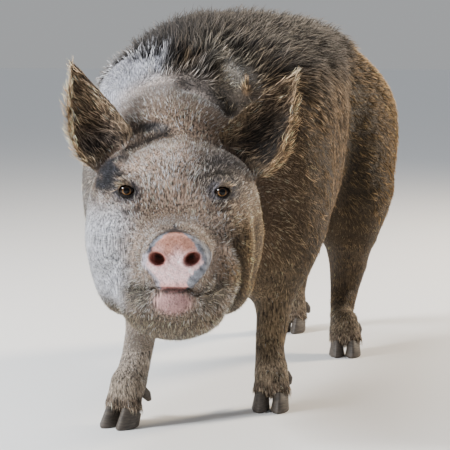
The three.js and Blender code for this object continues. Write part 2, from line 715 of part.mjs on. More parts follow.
// the trunk without the tail's root, and the legs, each taken out of it by a plug
let body = share(flesh, BOX.trunk, CELL.trunk, [NECK_CUT.back, HEAD_CUT.back]);
body = body.subtract(loft(grownRings(tailRings, SLOT)));
for (const [name, rounds] of Object.entries(LEGS)) {
  const { radius, top, middle } = plugOf(name);
  const levels = LEG_LEVELS.map((t) => THREE.MathUtils.lerp(FLESH_FLOOR, top + LEG_OVER, t));
  const between = cut([middle, 0, 0], [1, 0, 0]);
  const side = name.startsWith("left") ? between.front : between.back;
  const leg = legColumn(rounds, levels, radius + LEG_OVER);
  parts.set(name, leg.intersect(plug(name)).intersect(side));
  body = body.subtract(plug(name, GAP));
}
parts.set("trunk", largest(body));

// the feet
for (const [name, foot] of Object.entries(FEET)) {
  const inner = foot.at[0] > 0 ? -1 : 1;
  for (const side of [1, -1]) {
    const place = side === inner ? "inner" : "outer";
    for (const [kind, rings] of [["claw", clawRings(foot, side)], ["dewclaw", dewclawRings(foot, side)]]) {
      parts.set(`${name}_${kind}_${place}`, loft(rings));
      parts.set(foot.leg, parts.get(foot.leg).subtract(loft(grownRings(rings, SLOT))));
    }
  }
  parts.set(foot.leg, largest(parts.get(foot.leg)));
}

// ---------------------------------------------------------------- colours
const COLOURS = {
  snout: 0xc98a80,
  eye: 0x7a4a20,
  claw: 0x3b3128,
  ear: 0x4a382b,
  flesh: 0x6b5a4b,
};

/** The colour of a part, by the word its name holds. */
function colourOf(name) {
  const kind = Object.keys(COLOURS).find((word) => name.includes(word));
  return COLOURS[kind ?? "flesh"];
}

// ---------------------------------------------------------------- the finished pig
const pig = new THREE.Group();
pig.name = "pig";
for (const [name, made] of parts) {
  const { vertProperties, triVerts } = made.getMesh();
  const geometry = new THREE.BufferGeometry();
  geometry.setAttribute("position", new THREE.BufferAttribute(new Float32Array(vertProperties), 3));
  geometry.setIndex(new THREE.BufferAttribute(new Uint32Array(triVerts), 1));
  const look = new THREE.MeshStandardMaterial({ color: colourOf(name), roughness: 0.8, metalness: 0 });
  const mesh = new THREE.Mesh(geometry, look);
  mesh.name = name;
  pig.add(mesh);
}
pig.updateMatrixWorld(true);
const bounds = new THREE.Box3().setFromObject(pig);
pig.position.set(-(bounds.min.x + bounds.max.x) / 2, -(bounds.min.y + bounds.max.y) / 2, -bounds.min.z);
export default pig;
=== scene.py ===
import math

import bmesh
import bpy
import numpy as np
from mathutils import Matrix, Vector


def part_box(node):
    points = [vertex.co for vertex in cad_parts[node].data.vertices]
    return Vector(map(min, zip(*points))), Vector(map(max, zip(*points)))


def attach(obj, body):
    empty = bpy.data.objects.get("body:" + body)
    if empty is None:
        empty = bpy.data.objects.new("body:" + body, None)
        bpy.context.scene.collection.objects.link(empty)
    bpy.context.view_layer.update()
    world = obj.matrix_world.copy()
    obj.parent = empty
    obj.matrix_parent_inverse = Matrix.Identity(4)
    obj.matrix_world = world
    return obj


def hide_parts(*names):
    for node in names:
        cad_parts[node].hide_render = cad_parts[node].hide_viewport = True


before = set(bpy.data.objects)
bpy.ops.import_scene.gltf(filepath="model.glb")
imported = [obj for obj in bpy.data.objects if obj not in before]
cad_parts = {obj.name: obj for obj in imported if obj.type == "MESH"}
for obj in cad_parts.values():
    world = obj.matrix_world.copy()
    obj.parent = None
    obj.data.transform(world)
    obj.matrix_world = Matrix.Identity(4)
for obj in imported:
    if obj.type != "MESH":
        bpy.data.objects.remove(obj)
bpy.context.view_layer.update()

# ------------------------------------------------------------------ named sizes, in millimetres
# Shapes are laid out in the pig's modelling frame: it faces -Y, its left side is +X, the floor is Z = 0.
ORIGIN = np.array([18.905, 45.432, 0.0])  # the modelling frame's origin in the row's frame
SNOUT_CENTRE = np.array([51.0, -652.0, 290.0])
HEAD_TURN = math.radians(18)  # to the pig's left

# each ring of the trunk: y, x of the middle, half width, top, bottom, height of the widest place as a share
# of the ring's height, and how square it is above that place
TRUNK_RINGS = np.array([
    [-440, -34, 94, 430, 200, 0.5, 2.1],
    [-370, -29, 124, 506, 184, 0.5, 2.1],
    [-300, -27, 176, 590, 174, 0.5, 2.1],
    [-200, -25, 196, 630, 170, 0.54, 2.2],
    [-60, -28, 192, 640, 162, 0.62, 2.7],
    [70, -36, 182, 638, 156, 0.64, 2.8],
    [190, -30, 154, 637, 176, 0.6, 2.9],
    [300, 4, 134, 628, 236, 0.52, 2.5],
    [390, 20, 122, 594, 300, 0.5, 2.1],
    [470, 24, 88, 536, 360, 0.5, 2.1],
], float)

NECK_BEND = {"from": -240, "to": -400, "slant": 0.32}
TRUNK_SQUARE = 2.1
BODY_MASSES = [  # centre, half sizes, and how widely it flows into its surroundings
    ((26, 398, 440), (142, 138, 152), 60),  # rump
    ((-50, -366, 452), (98, 66, 80), 40),  # fat roll behind the poll
    ((-28, -355, 262), (100, 95, 92), 60),  # brisket
    ((-128, -242, 488), (80, 112, 92), 46),  # right shoulder blade
    ((82, -228, 486), (80, 112, 92), 46),  # left shoulder blade
    ((88, -232, 350), (84, 108, 150), 46),  # left shoulder
    ((-128, -272, 350), (84, 112, 150), 46),  # right shoulder
    ((110, 328, 376), (74, 108, 160), 46),  # left ham
    ((-56, 352, 372), (76, 124, 158), 46),  # right ham
]
LEGS = {  # x, y, z and radius of each round, from the body to the fetlock
    "left_foreleg": [(90, -224, 300, 64), (89, -222, 232, 47), (85, -228, 176, 33), (83, -234, 144, 30.5),
                     (79, -238, 103, 26.5), (82, -244, 63, 28.5), (84, -250, 46, 22)],
    "right_foreleg": [(-118, -292, 300, 66), (-110, -318, 232, 52), (-98, -350, 176, 34),
                      (-95, -372, 140, 28), (-96, -390, 105, 26.5), (-101, -408, 63, 28.5),
                      (-105, -417, 46, 22)],
    "left_hindleg": [(98, 300, 300, 76), (97, 306, 228, 57), (93, 322, 172, 42), (86, 322, 118, 31),
                     (87, 292, 78, 25.5), (95, 260, 48, 27), (101, 246, 40, 22)],
    "right_hindleg": [(-52, 372, 300, 76), (-54, 410, 228, 57), (-54, 462, 172, 42), (-54, 494, 120, 31),
                      (-55, 490, 80, 25.5), (-56, 482, 48, 27), (-56, 475, 40, 22)],
}
LEG_DEPTH = 1.12
LEG_FLOW = 44
FEET = [  # the middle of each sole, and which way its toes point, in degrees to the pig's left
    (86, -262, 6), (-112, -434, -14), (106, 232, 8), (-57, 462, -4),
]
TOE = [(4, -22, 66, 22), (13.5, -16, 35, 20)]  # from the fetlock to a claw: beside, ahead, height, radius
TOE_FLOW = 10
TOES_BELOW = 110
# the head has its own frame: a to the pig's left, b back from the snout disc, c up
HEAD_MASSES = [  # centre, half sizes, and whether it is one of a pair
    ((0, 208, 64), (98, 96, 96), False),  # skull
    ((0, 160, 92), (68, 52, 48), False),  # forehead
    ((0, 98, 8), (64, 98, 50), False),  # muzzle
    ((60, 150, 80), (34, 42, 28), True),  # brow
    ((76, 212, 56), (52, 80, 80), True),  # temple
    ((66, 140, 18), (60, 70, 64), True),  # cheek
    ((74, 204, -10), (56, 86, 98), True),  # jowl
    ((0, 118, -66), (84, 92, 64), False),  # throat
    ((0, 60, -56), (44, 52, 36), False),  # chin
]
HEAD_FLOW = {"mass": 34, "disc": 16, "lip": 10, "neck": 40}
DISC = {"half_width": 46, "half_height": 40, "back": 60, "edge": 8}
LIP = ((0, 28, -60), (30, 24, 20))
EARS = {  # side, then the two ends of the root and the tip, in the head's frame
    "left_ear": (1, (68, 236, 166), (118, 208, 88), (184, 246, 257)),
    "right_ear": (-1, (-62, 236, 168), (-112, 208, 100), (-152, 250, 270)),
}
EAR = {"bulge": 30, "inner_bulge": 4, "cup": 40, "thick": 7, "lean": 10, "blunt": 0.975,
       "rings": 40, "around": 44, "buried": 0.1}
TAIL = [  # x, y, z and radius of each round with its hair, from the rump down
    (24, 500, 500, 21), (25, 541, 478, 17), (27, 562, 440, 12), (27, 562, 390, 10), (24, 556, 340, 12),
    (22, 553, 300, 15), (20, 551, 250, 4),
]
TAIL_SKIN = {"share": 0.8, "end": 2, "rings": 40, "around": 14}
FAR = 3000.0


# ------------------------------------------------------------------ frames
def to_head(p):
    """Points of the modelling frame in the head's frame."""
    u, v = p[:, 0] - SNOUT_CENTRE[0], p[:, 1] - SNOUT_CENTRE[1]
    s, c = math.sin(HEAD_TURN), math.cos(HEAD_TURN)
    return np.stack([u * c + v * s, v * c - u * s, p[:, 2] - SNOUT_CENTRE[2]], 1)


def from_head(q):
    """Points of the head's frame in the modelling frame."""
    s, c = math.sin(HEAD_TURN), math.cos(HEAD_TURN)
    return np.stack([q[:, 0] * c - q[:, 1] * s, q[:, 0] * s + q[:, 1] * c, q[:, 2]], 1) + SNOUT_CENTRE


def head_way(v):
    """Directions of the head's frame in the modelling frame."""
    return from_head(v) - SNOUT_CENTRE


def to_row(p):
    """Millimetres of the modelling frame as metres of the row's frame."""
    return (np.asarray(p, float) + ORIGIN) * 0.001


def from_row(p):
    """Metres of the row's frame as millimetres of the modelling frame."""
    return np.asarray(p, float) * 1000 - ORIGIN


# ------------------------------------------------------------------ steps, directions and gaps
def smooth(x, low, high):
    """0 below low, 1 above high, and a smooth step between."""
    t = np.clip((x - low) / (high - low), 0, 1)
    return t * t * (3 - 2 * t)


def falling(x, low, high):
    """1 below low, 0 above high, and a smooth step between."""
    return 1 - smooth(x, low, high)


def bell(x, width):
    """1 where x is 0, fading on both sides of it."""
    return np.exp(-(x / width) ** 2)


def laid(under, over, share):
    """Rows with others laid over them, each by its own share."""
    share = share[:, None]
    return under * (1 - share) + over * share


def unit(v):
    """Directions one long."""
    return v / np.maximum(np.linalg.norm(v, axis=-1, keepdims=True), 1e-9)


def run_gap(p, start, end):
    """How far each point is from the line between two ends, and its share of the way from start to end."""
    run = end - start
    off = p - start
    t = np.clip(off @ run / (run @ run), 0, 1)
    return np.linalg.norm(off - t[:, None] * run, axis=1), t


# ------------------------------------------------------------------ the body as a smooth distance
def blend(a, b, reach):
    """Joins two bodies with a fillet about as wide as reach."""
    near = np.maximum(reach - np.abs(a - b), 0) / reach
    return np.minimum(a, b) - near * near * reach * 0.25


def egg(p, at, size):
    """Distance to an egg-shaped mass."""
    off = p - np.array(at, float)
    size = np.array(size, float)
    near = np.linalg.norm(off / size, axis=1)
    slope = np.linalg.norm(off / size ** 2, axis=1)
    return near * (near - 1) / np.maximum(slope, 1e-6)


def limb(p, rounds, depth):
    """Distance to a run of rounds joined by cones, deeper along y by depth."""
    best = np.full(len(p), FAR)
    scale = np.array([1, 1 / depth, 1])
    for start, end in zip(rounds, rounds[1:]):
        gone, t = run_gap(p * scale, np.array(start[:3]) * scale, np.array(end[:3]) * scale)
        best = np.minimum(best, gone - (start[3] + (end[3] - start[3]) * t))
    return best


def toes():
    """Each foot's two toes as runs of rounds."""
    made = []
    for x, y, turn in FEET:
        s, c = math.sin(math.radians(turn)), math.cos(math.radians(turn))
        for side in (1, -1):
            made.append([(x + side * beside * c + ahead * s, y + side * beside * s - ahead * c, up, radius)
                         for beside, ahead, up, radius in TOE])
    return made


def ring_at(y):
    """The trunk's ring at each y, on smooth curves through the named rings."""
    rings = TRUNK_RINGS
    last = len(rings) - 1
    held = np.clip(y, rings[0, 0], rings[last, 0])
    i = np.clip(np.searchsorted(rings[:, 0], held, side="left") - 1, 0, last - 1)
    before, after = np.maximum(i - 1, 0), np.minimum(i + 2, last)
    step = rings[i + 1, 0] - rings[i, 0]
    t = ((held - rings[i, 0]) / step)[:, None]
    p, q = rings[i, 1:], rings[i + 1, 1:]
    m = (q - rings[before, 1:]) * (step / (rings[i + 1, 0] - rings[before, 0]))[:, None]
    n = (rings[after, 1:] - p) * (step / (rings[after, 0] - rings[i, 0]))[:, None]
    t2, t3 = t * t, t ** 3
    return (2 * t3 - 3 * t2 + 1) * p + (t3 - 2 * t2 + t) * m + (3 * t2 - 2 * t3) * q + (t3 - t2) * n


def trunk(p):
    """Distance to the trunk and neck."""
    bent = smooth(-p[:, 1], -NECK_BEND["from"], -NECK_BEND["to"]) * NECK_BEND["slant"]
    along = p[:, 1] - bent * (p[:, 0] - TRUNK_RINGS[0, 1])
    middle, half, top, bottom, waist, square = ring_at(along).T
    level = bottom + (top - bottom) * waist
    u, w = p[:, 0] - middle, p[:, 2] - level
    high = np.where(w > 0, top - level, level - bottom)
    power = np.where(w > 0, square, TRUNK_SQUARE)
    near = (np.abs(u / half) ** power + np.abs(w / high) ** power) ** (1 / power)
    ring = np.hypot(u, w) * (1 - 1 / np.maximum(near, 1e-6))
    past = np.maximum(TRUNK_RINGS[0, 0] - along, along - TRUNK_RINGS[-1, 0])
    beyond = np.hypot(np.maximum(ring, 0), past)
    return np.where(past <= 0, np.maximum(ring, past), beyond)


def head(p):
    """Distance to the head without its ears."""
    q = to_head(p)
    near = np.full(len(p), FAR)
    for at, size, pair in HEAD_MASSES:
        side = np.column_stack([np.abs(q[:, 0]), q[:, 1:]]) if pair else q
        near = blend(near, egg(side, at, size), HEAD_FLOW["mass"])
    wide = np.hypot(q[:, 0] / DISC["half_width"], q[:, 2] / DISC["half_height"])
    column = np.hypot(q[:, 0], q[:, 2]) * (1 - 1 / np.maximum(wide, 1e-6))
    over = column + DISC["edge"]
    past = np.maximum(-q[:, 1], q[:, 1] - DISC["back"]) + DISC["edge"]
    outside = np.hypot(np.maximum(over, 0), np.maximum(past, 0))
    disc = np.minimum(np.maximum(over, past), 0) + outside - DISC["edge"]
    near = blend(near, disc, HEAD_FLOW["disc"])
    return blend(near, egg(q, *LIP), HEAD_FLOW["lip"])


def flesh(p):
    """Distance to the coat's outline, without ears and claws."""
    near = trunk(p)
    for at, size, flow in BODY_MASSES:
        near = blend(near, egg(p, at, size), flow)
    for rounds in LEGS.values():
        near = blend(near, limb(p, rounds, LEG_DEPTH), LEG_FLOW)
    low = p[:, 2] < TOES_BELOW
    for rounds in toes():
        near[low] = blend(near[low], limb(p[low], rounds, LEG_DEPTH), TOE_FLOW)
    return blend(near, head(p), HEAD_FLOW["neck"])


# ------------------------------------------------------------------ meshes from arrays
def surface(distance, low, high, cell, coarse=4):
    """Points and four-sided faces of where distance is below zero, one point in each cell it crosses."""
    step = cell * coarse
    count = [int(math.ceil((high[k] - low[k]) / step)) for k in range(3)]
    rough_axes = [low[k] + step * np.arange(count[k] + 1) for k in range(3)]
    rough = np.stack(np.meshgrid(*rough_axes, indexing="ij"), -1)
    rough_value = distance(rough.reshape(-1, 3)).reshape(rough.shape[:3])
    axes = [low[k] + cell * np.arange(count[k] * coarse + 1) for k in range(3)]
    nearest = [np.clip(np.round(np.arange(len(axes[k])) / coarse).astype(int), 0, count[k]) for k in range(3)]
    value = rough_value[np.ix_(*nearest)].astype(float)
    close = np.abs(value) < 1.6 * step
    at = np.argwhere(close)
    value[close] = distance(np.column_stack([axes[k][at[:, k]] for k in range(3)]))
    value[value == 0] = 1e-6
    cells = tuple(len(a) - 1 for a in axes)
    total, hits = np.zeros((int(np.prod(cells)), 3)), np.zeros(int(np.prod(cells)))
    crossings = []
    for axis in range(3):
        first = value[tuple(slice(0, -1) if k == axis else slice(None) for k in range(3))]
        second = value[tuple(slice(1, None) if k == axis else slice(None) for k in range(3))]
        start = np.argwhere((first < 0) != (second < 0))
        a, b = first[tuple(start.T)], second[tuple(start.T)]
        spot = start.astype(float)
        spot[:, axis] += a / (a - b)
        u, v = (axis + 1) % 3, (axis + 2) % 3
        corners = []
        for du, dv in ((0, 0), (-1, 0), (-1, -1), (0, -1)):
            cell_at = start.copy()
            cell_at[:, u] += du
            cell_at[:, v] += dv
            flat = np.ravel_multi_index(cell_at.T, cells)
            np.add.at(total, flat, spot)
            np.add.at(hits, flat, 1)
            corners.append(flat)
        quad = np.stack(corners, 1)
        quad[a >= 0] = quad[a >= 0][:, ::-1]
        crossings.append(quad)
    used = np.flatnonzero(hits)
    number = np.zeros(len(hits), int)
    number[used] = np.arange(len(used))
    points = np.array(low) + cell * total[used] / hits[used, None]
    return points, number[np.concatenate(crossings)]


def store(items, what, values):
    """Writes numbers into a mesh's points or layer."""
    items.foreach_set(what, values.astype(np.float32).ravel())


def add_object(name, data):
    """A new object in the scene."""
    made = bpy.data.objects.new(name, data)
    bpy.context.scene.collection.objects.link(made)
    return made


def shade_smooth(mesh):
    mesh.polygons.foreach_set("use_smooth", np.ones(len(mesh.polygons), bool))


def new_object(name, points, faces):
    """A smooth-shaded mesh object from points in millimetres and faces with one number of corners."""
    mesh = bpy.data.meshes.new(name)
    count, corners = faces.shape
    mesh.vertices.add(len(points))
    store(mesh.vertices, "co", to_row(points))
    mesh.loops.add(count * corners)
    mesh.loops.foreach_set("vertex_index", faces.astype(np.int32).ravel())
    mesh.polygons.add(count)
    mesh.polygons.foreach_set("loop_start", (np.arange(count) * corners).astype(np.int32))
    shade_smooth(mesh)
    mesh.update(calc_edges=True)
    return add_object(name, mesh)


def points_of(made):
    """The object's vertices in millimetres of the modelling frame."""
    co = np.zeros(len(made.data.vertices) * 3)
    made.data.vertices.foreach_get("co", co)
    return from_row(co.reshape(-1, 3))


def set_points(made, points):
    """Puts the object's vertices at these places of the modelling frame."""
    store(made.data.vertices, "co", to_row(points))
    made.data.update()


def settled(distance, p, turns=2, most=6.0, step=0.6):
    """The points moved onto the surface where distance is zero."""
    for _ in range(turns):
        here = distance(p)
        slope = np.stack([distance(p + step * np.eye(3)[k]) - here for k in range(3)], 1) / step
        steep = np.maximum((slope ** 2).sum(1), 1e-3)
        by = np.clip(here / steep, -most, most)
        p = p - slope * by[:, None]
    return p


def normals_of(distance, p, step=0.6):
    """The outward directions of a distance's surface at these points."""
    ways = step * np.eye(3)
    return unit(np.stack([distance(p + way) - distance(p - way) for way in ways], 1))


def edited(mesh, change):
    """Opens the mesh for editing, makes the change and writes it back."""
    grid = bmesh.new()
    grid.from_mesh(mesh)
    change(grid)
    grid.to_mesh(mesh)
    grid.free()


def refined(made, wanted):
    """Cuts each face whose middle is wanted into four."""

    def cut(grid):
        chosen = wanted(from_row(np.array([f.calc_center_median() for f in grid.faces])))
        edges = {e for f, yes in zip(grid.faces, chosen) if yes for e in f.edges}
        bmesh.ops.subdivide_edges(grid, edges=list(edges), cuts=1, use_grid_fill=True)

    edited(made.data, cut)


# ------------------------------------------------------------------ the skin
COAT = {"body": 6.5, "mane": 13.0, "face": 2.6, "leg": 3.6, "snout": 0.4}


def coat_depth(p):
    """How far the skin lies inside the outline of the coat's tips."""
    q = to_head(p)
    mane = smooth(p[:, 2], 470, 600) * smooth(p[:, 1], -330, -250)
    leg = falling(p[:, 2], 110, 260)
    face = falling(q[:, 1], 150, 300)
    snout = falling(q[:, 1], 26, 60) * smooth(q[:, 2], -52, -38)
    depth = COAT["body"]
    for part, share in (("mane", mane), ("leg", leg), ("face", face), ("snout", snout)):
        depth = depth + (COAT[part] - depth) * share
    return depth


def skin_distance(p):
    return flesh(p) + coat_depth(p)


SKIN_GRID = {"low": (-236, -676, 0), "high": (204, 560, 664), "cell": 7.8}
# the eyeball, where the eyes are, and how far and how widely the ball's clear front bulges
EYE = {"radius": 12.0, "beside": 69.5, "up": 86.0, "slack": 0.4, "bulge": 1.0, "bulge_wide": 0.42}
EYE_SHIFTS = np.array([(-1.5, 0, 0.5), (1.5, 0, 3.0)])  # from the middles of the CAD eyes, left first
HEAD_BACK = 300.0  # sculpting of the face ends this far behind the snout
ROLLS_BACK = 430.0  # and that of the neck's rolls this far


def in_head(p, back=HEAD_BACK):
    q = to_head(p)
    return (q[:, 1] < back) & (q[:, 2] > -150) & (p[:, 2] > 120)


def in_rolls(p):
    """The back of the neck, where its rolls of fat meet."""
    q = to_head(p)
    return (q[:, 1] > 270) & (q[:, 1] < 370) & (q[:, 2] > 140) & (np.abs(q[:, 0] - 50) < 90)


def near_detail(p):
    """True where the face has small features: the eyes, snout and mouth."""
    q = to_head(p)
    eyes = np.hypot(np.abs(q[:, 0]) - EYE["beside"], q[:, 2] - EYE["up"]) < 34
    snout = (q[:, 1] < 62) & (np.abs(q[:, 0]) < 70)
    mouth = (np.abs(q[:, 0]) < 100) & (np.abs(q[:, 2] + 44) < 18) & (q[:, 1] < 130)
    return in_head(p, 190) & (eyes | snout | mouth)


def build_body():
    """The body's surface, finer on the head, the neck's rolls and the feet, and finest where the face is."""
    made = new_object("skin", *surface(skin_distance, SKIN_GRID["low"], SKIN_GRID["high"], SKIN_GRID["cell"]))
    refined(made, lambda m: in_head(m) | in_rolls(m) | (m[:, 2] < TOES_BELOW))
    refined(made, near_detail)
    set_points(made, settled(skin_distance, points_of(made)))
    return made


# ------------------------------------------------------------------ ears and tail
def ear_frame(spec):
    """The corners and directions of an ear: root, wing, tip, open and outwards."""
    side = spec[0]
    root, wing, tip = np.array(spec[1:], float)
    across = unit(wing - root)
    along = unit(tip - (root + wing) / 2)
    return root, wing, tip, unit(np.cross(across, along) * side), unit(across - along * (across @ along))


def ear_point(spec, t, u, v):
    """A point of the ear in the head's frame: t from root to tip, u across from -1 to 1, v through it."""
    root, wing, tip, opening, outwards = ear_frame(spec)
    t, u, v = (np.asarray(n, float)[..., None] for n in (t, u, v))
    swell = np.sin(np.pi * t)
    start = root + (tip - root) * t - outwards * EAR["inner_bulge"] * swell
    end = wing + (tip - wing) * t + outwards * EAR["bulge"] * np.sin(np.pi * t ** 0.8)
    middle, half = (start + end) / 2, (end - start) / 2
    cupped = EAR["cup"] * (1 - t) ** 0.7
    thick = EAR["thick"] / 2 * (1.5 - 0.9 * t)
    rise = cupped * (u * u - 0.5) + thick * v - EAR["lean"] * swell
    return middle + half * u + opening * rise


def loft(rings):
    """Points and triangles of a closed skin through rings that all have the same count."""
    rings = np.asarray(rings)
    levels, count = rings.shape[:2]
    j = np.arange(count)
    k = (j + 1) % count
    faces = []
    for i in range(levels - 1):
        low, high = i * count, (i + 1) * count
        faces.append(np.stack([low + j, low + k, high + k], 1))
        faces.append(np.stack([low + j, high + k, high + j], 1))
    points = np.concatenate([rings.reshape(-1, 3), rings[[0, -1]].mean(1)])
    base, top = levels * count, levels * count + 1
    faces.append(np.stack([np.full(count, base), k, j], 1))
    last = (levels - 1) * count
    faces.append(np.stack([np.full(count, top), last + j, last + k], 1))
    faces = np.concatenate(faces)
    corners = points[faces]
    volume = np.einsum("ij,ij->i", corners[:, 0], np.cross(corners[:, 1], corners[:, 2])).sum()
    return points, faces if volume > 0 else faces[:, ::-1]


def around(count):
    """The angles of this many points round a ring."""
    return 2 * np.pi * np.arange(count) / count


def build_ear(name, spec):
    """A cupped ear, whose first ring is buried in the head."""
    root, wing, tip, _, _ = ear_frame(spec)
    turn = around(EAR["around"])
    rings = []
    for t in np.linspace(-EAR["buried"], EAR["blunt"], EAR["rings"]):
        ring = ear_point(spec, np.full(len(turn), max(t, 0)), np.cos(turn) * 0.97, np.sin(turn))
        if t < 0:
            ring = ring + (ring.mean(0) - (tip + (root + wing) / 2) / 2) * -t
        rings.append(from_head(ring))
    return new_object(name, *loft(rings))


def build_tail():
    """A round tail, swung along a smooth path through its named rounds and closed by a blunt end."""
    rounds = np.array(TAIL, float)
    steps = np.linspace(0, len(rounds) - 1, TAIL_SKIN["rings"])
    path = np.column_stack([np.interp(steps, np.arange(len(rounds)), rounds[:, k]) for k in range(4)])
    for _ in range(3):
        path[1:-1] = (path[:-2] + 2 * path[1:-1] + path[2:]) / 4
    path[:, 3] *= TAIL_SKIN["share"]
    path[-1, 3] = TAIL_SKIN["end"]
    turn = around(TAIL_SKIN["around"])[:, None]
    side = np.array([1.0, 0, 0])
    rings = []
    for i, (x, y, z, r) in enumerate(path):
        run = unit(path[min(i + 1, len(path) - 1), :3] - path[max(i - 1, 0), :3])
        up = unit(np.cross(run, side))
        rings.append(np.array([x, y, z]) + r * (np.cos(turn) * side + np.sin(turn) * up))
    return new_object("tail_skin", *loft(rings))


def united(made, others):
    """The object with the others joined into it as one closed mesh."""
    for other in others:
        step = made.modifiers.new("join", "BOOLEAN")
        step.operation = "UNION"
        step.solver = "MANIFOLD"
        step.object = other
    bpy.context.view_layer.update()
    mesh = bpy.data.meshes.new_from_object(made.evaluated_get(bpy.context.evaluated_depsgraph_get()))
    made.modifiers.clear()
    made.data = mesh
    for other in others:
        bpy.data.objects.remove(other)
    return made


# ------------------------------------------------------------------ sculpted features
def edges_of(mesh):
    pairs = np.zeros(len(mesh.edges) * 2, int)
    mesh.edges.foreach_get("vertices", pairs)
    return pairs.reshape(-1, 2)


def relaxed(points, edges, weight, turns):
    """The points drawn towards the mean of their neighbours, each by its weight."""
    count = np.bincount(edges.ravel(), minlength=len(points))[:, None]
    for _ in range(turns):
        total = np.zeros_like(points)
        np.add.at(total, edges[:, 0], points[edges[:, 1]])
        np.add.at(total, edges[:, 1], points[edges[:, 0]])
        points = points + (total / np.maximum(count, 1) - points) * weight[:, None]
    return points


def path_gap(q, path):
    """How far each point is, seen from the front, from a path of (a, c) points, and how far along it is."""
    best, place = np.full(len(q), FAR), np.zeros(len(q))
    path = np.array(path, float)
    for i, (start, end) in enumerate(zip(path, path[1:])):
        gap, t = run_gap(q[:, [0, 2]], start, end)
        closer = gap < best
        best[closer] = gap[closer]
        place[closer] = ((i + t) / (len(path) - 1))[closer]
    return best, place


# folds as seen from the front: (a, c) points, depth (below zero is a ridge), width, and the nearest and the
# furthest back they are
FOLDS = {
    "brow_crease": ([(-80, 128), (-66, 139), (-50, 148), (-32, 157), (-14, 163), (6, 161)],
                    6.0, 5.0, 130, 290),
    "poll_crease": ([(-90, 156), (-62, 165), (-40, 172), (-18, 179)], 4.5, 7.0, 150, 320),
    "mouth": ([(-80, -40), (-64, -48), (-42, -43), (-27, -39.5), (0, -38.5), (18, -40), (33, -49), (52, -51),
               (70, -44)], 7.0, 3.0, -20, 150),
    "right_flew": ([(-62, -34), (-44, -31), (-30, -28)], -2.5, 8.0, 0, 130),
    "left_flew": ([(26, -33), (42, -37), (58, -36)], -3.5, 8.0, 0, 130),
    "jowl_ridge": ([(22, -115), (42, -100), (56, -86), (74, -66), (82, -48), (87, -34), (83, -12), (74, 8),
                    (66, 26)], -7.0, 6.0, 20, 170),
    "jowl_valley": ([(66, -100), (86, -80), (97, -58), (101, -34), (96, -8), (88, 12), (80, 32)],
                    7.0, 6.0, 20, 200),
    "jowl_hollow": ([(40, -70), (60, -40), (70, -22), (64, -2)], 4.0, 8.0, 20, 170),
    "cheek_ridge": ([(103, 62), (107, 30), (108, -20), (104, -60)], -3.5, 5.0, 60, 230),
    "cheek_valley": ([(117, 50), (119, 20), (119, -20), (114, -60)], 3.5, 6.0, 60, 240),
    "right_cheek_fold": ([(-60, 22), (-84, -4), (-92, -40)], 2.0, 8.0, 20, 200),
    "disc_top": ([(-32, 25), (-25, 32), (-14, 38.5), (0, 41.5), (14, 38.5), (26, 31), (40, 25)],
                 4.5, 2.6, 4, 70),
    "roll_valley": ([(0, 244), (20, 238), (40, 233), (59, 222), (77, 211), (88, 198), (84, 182)],
                    14.0, 9.0, 250, 400),
    "second_roll": ([(30, 276), (65, 279), (84, 268), (100, 252), (112, 230), (118, 206)],
                    -9.0, 11.0, 250, 430),
}
PAIRED_FOLDS = {
    "pouch": ([(46, 64), (60, 59), (80, 62)], 2.0, 3.2, 60, 190),
    "brow": ([(46, 103), (62, 112), (86, 106)], 2.2, 3.6, 60, 190),
}
for name, (path, *rest) in PAIRED_FOLDS.items():
    FOLDS["left_" + name] = (path, *rest)
    FOLDS["right_" + name] = ([(-a, c) for a, c in path], *rest)
NOSTRIL = {"apart": 47, "height": 4, "wide": 11.5, "high": 9.5, "deep": 14.0, "lean": 0.25, "level_at": 23}
FURROW = {"back": 27, "width": 5.5, "deep": 2.6}  # it sets the disc off from the muzzle
LID = {"wide": 10.6, "high": 7.4, "lower": 0.78, "thick": 1.8, "blend": 5.0, "inside": 5.0, "tilt": 0.1}
WRINKLES = {"wide": 16.5, "high": 12.0, "width": 0.1, "rings": [(1, 1.5), (1.22, -0.9), (1.45, 1.1)]}


def eye_centres():
    """The middles of the two eyes in the head's frame, left first."""
    middles = [np.mean([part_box(n)[0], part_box(n)[1]], axis=0) for n in ("left_eye", "right_eye")]
    return to_head(from_row(np.array(middles))) + EYE_SHIFTS


def pressed(p, normals):
    """The points of the skin with the folds of the face and neck pressed in."""
    q = to_head(p)
    part = (q[:, 1] < ROLLS_BACK) & (p[:, 2] > 120)
    h = q[part]
    by = np.zeros(len(h))
    for path, depth, width, nearest, furthest in FOLDS.values():
        gap, place = path_gap(h, path)
        ends = smooth(np.minimum(place, 1 - place), -0.02, 0.16)
        seen = smooth(h[:, 1], nearest - 10, nearest) * falling(h[:, 1], furthest - 30, furthest)
        by += depth * bell(gap, width) * ends * seen
    out = p.copy()
    out[part] -= normals[part] * by[:, None]
    return out


def sink_nostrils(h):
    """Presses the nostrils into the disc, each with a raised rim."""
    for side in (1, -1):
        u = (h[:, 0] - side * NOSTRIL["apart"] / 2) / NOSTRIL["wide"]
        lean = NOSTRIL["lean"] * side * (h[:, 0] - side * NOSTRIL["level_at"])
        w = (h[:, 2] - NOSTRIL["height"] - lean) / NOSTRIL["high"]
        r = np.hypot(u, w)
        sunk = NOSTRIL["deep"] * falling(r, 0.55, 1.05) - 1.6 * bell(r - 1.2, 0.22)
        h[:, 1] += np.where(h[:, 1] < 26, sunk, 0)


def cut_furrow(h):
    """Draws the skin in behind the disc."""
    wide = np.hypot(h[:, 0], h[:, 2])
    deep = bell(h[:, 1] - FURROW["back"], FURROW["width"]) * FURROW["deep"]
    furrow = deep * (wide > 30) * smooth(h[:, 2], -40, -20)
    h[:, [0, 2]] *= (1 - furrow / np.maximum(wide, 1))[:, None]


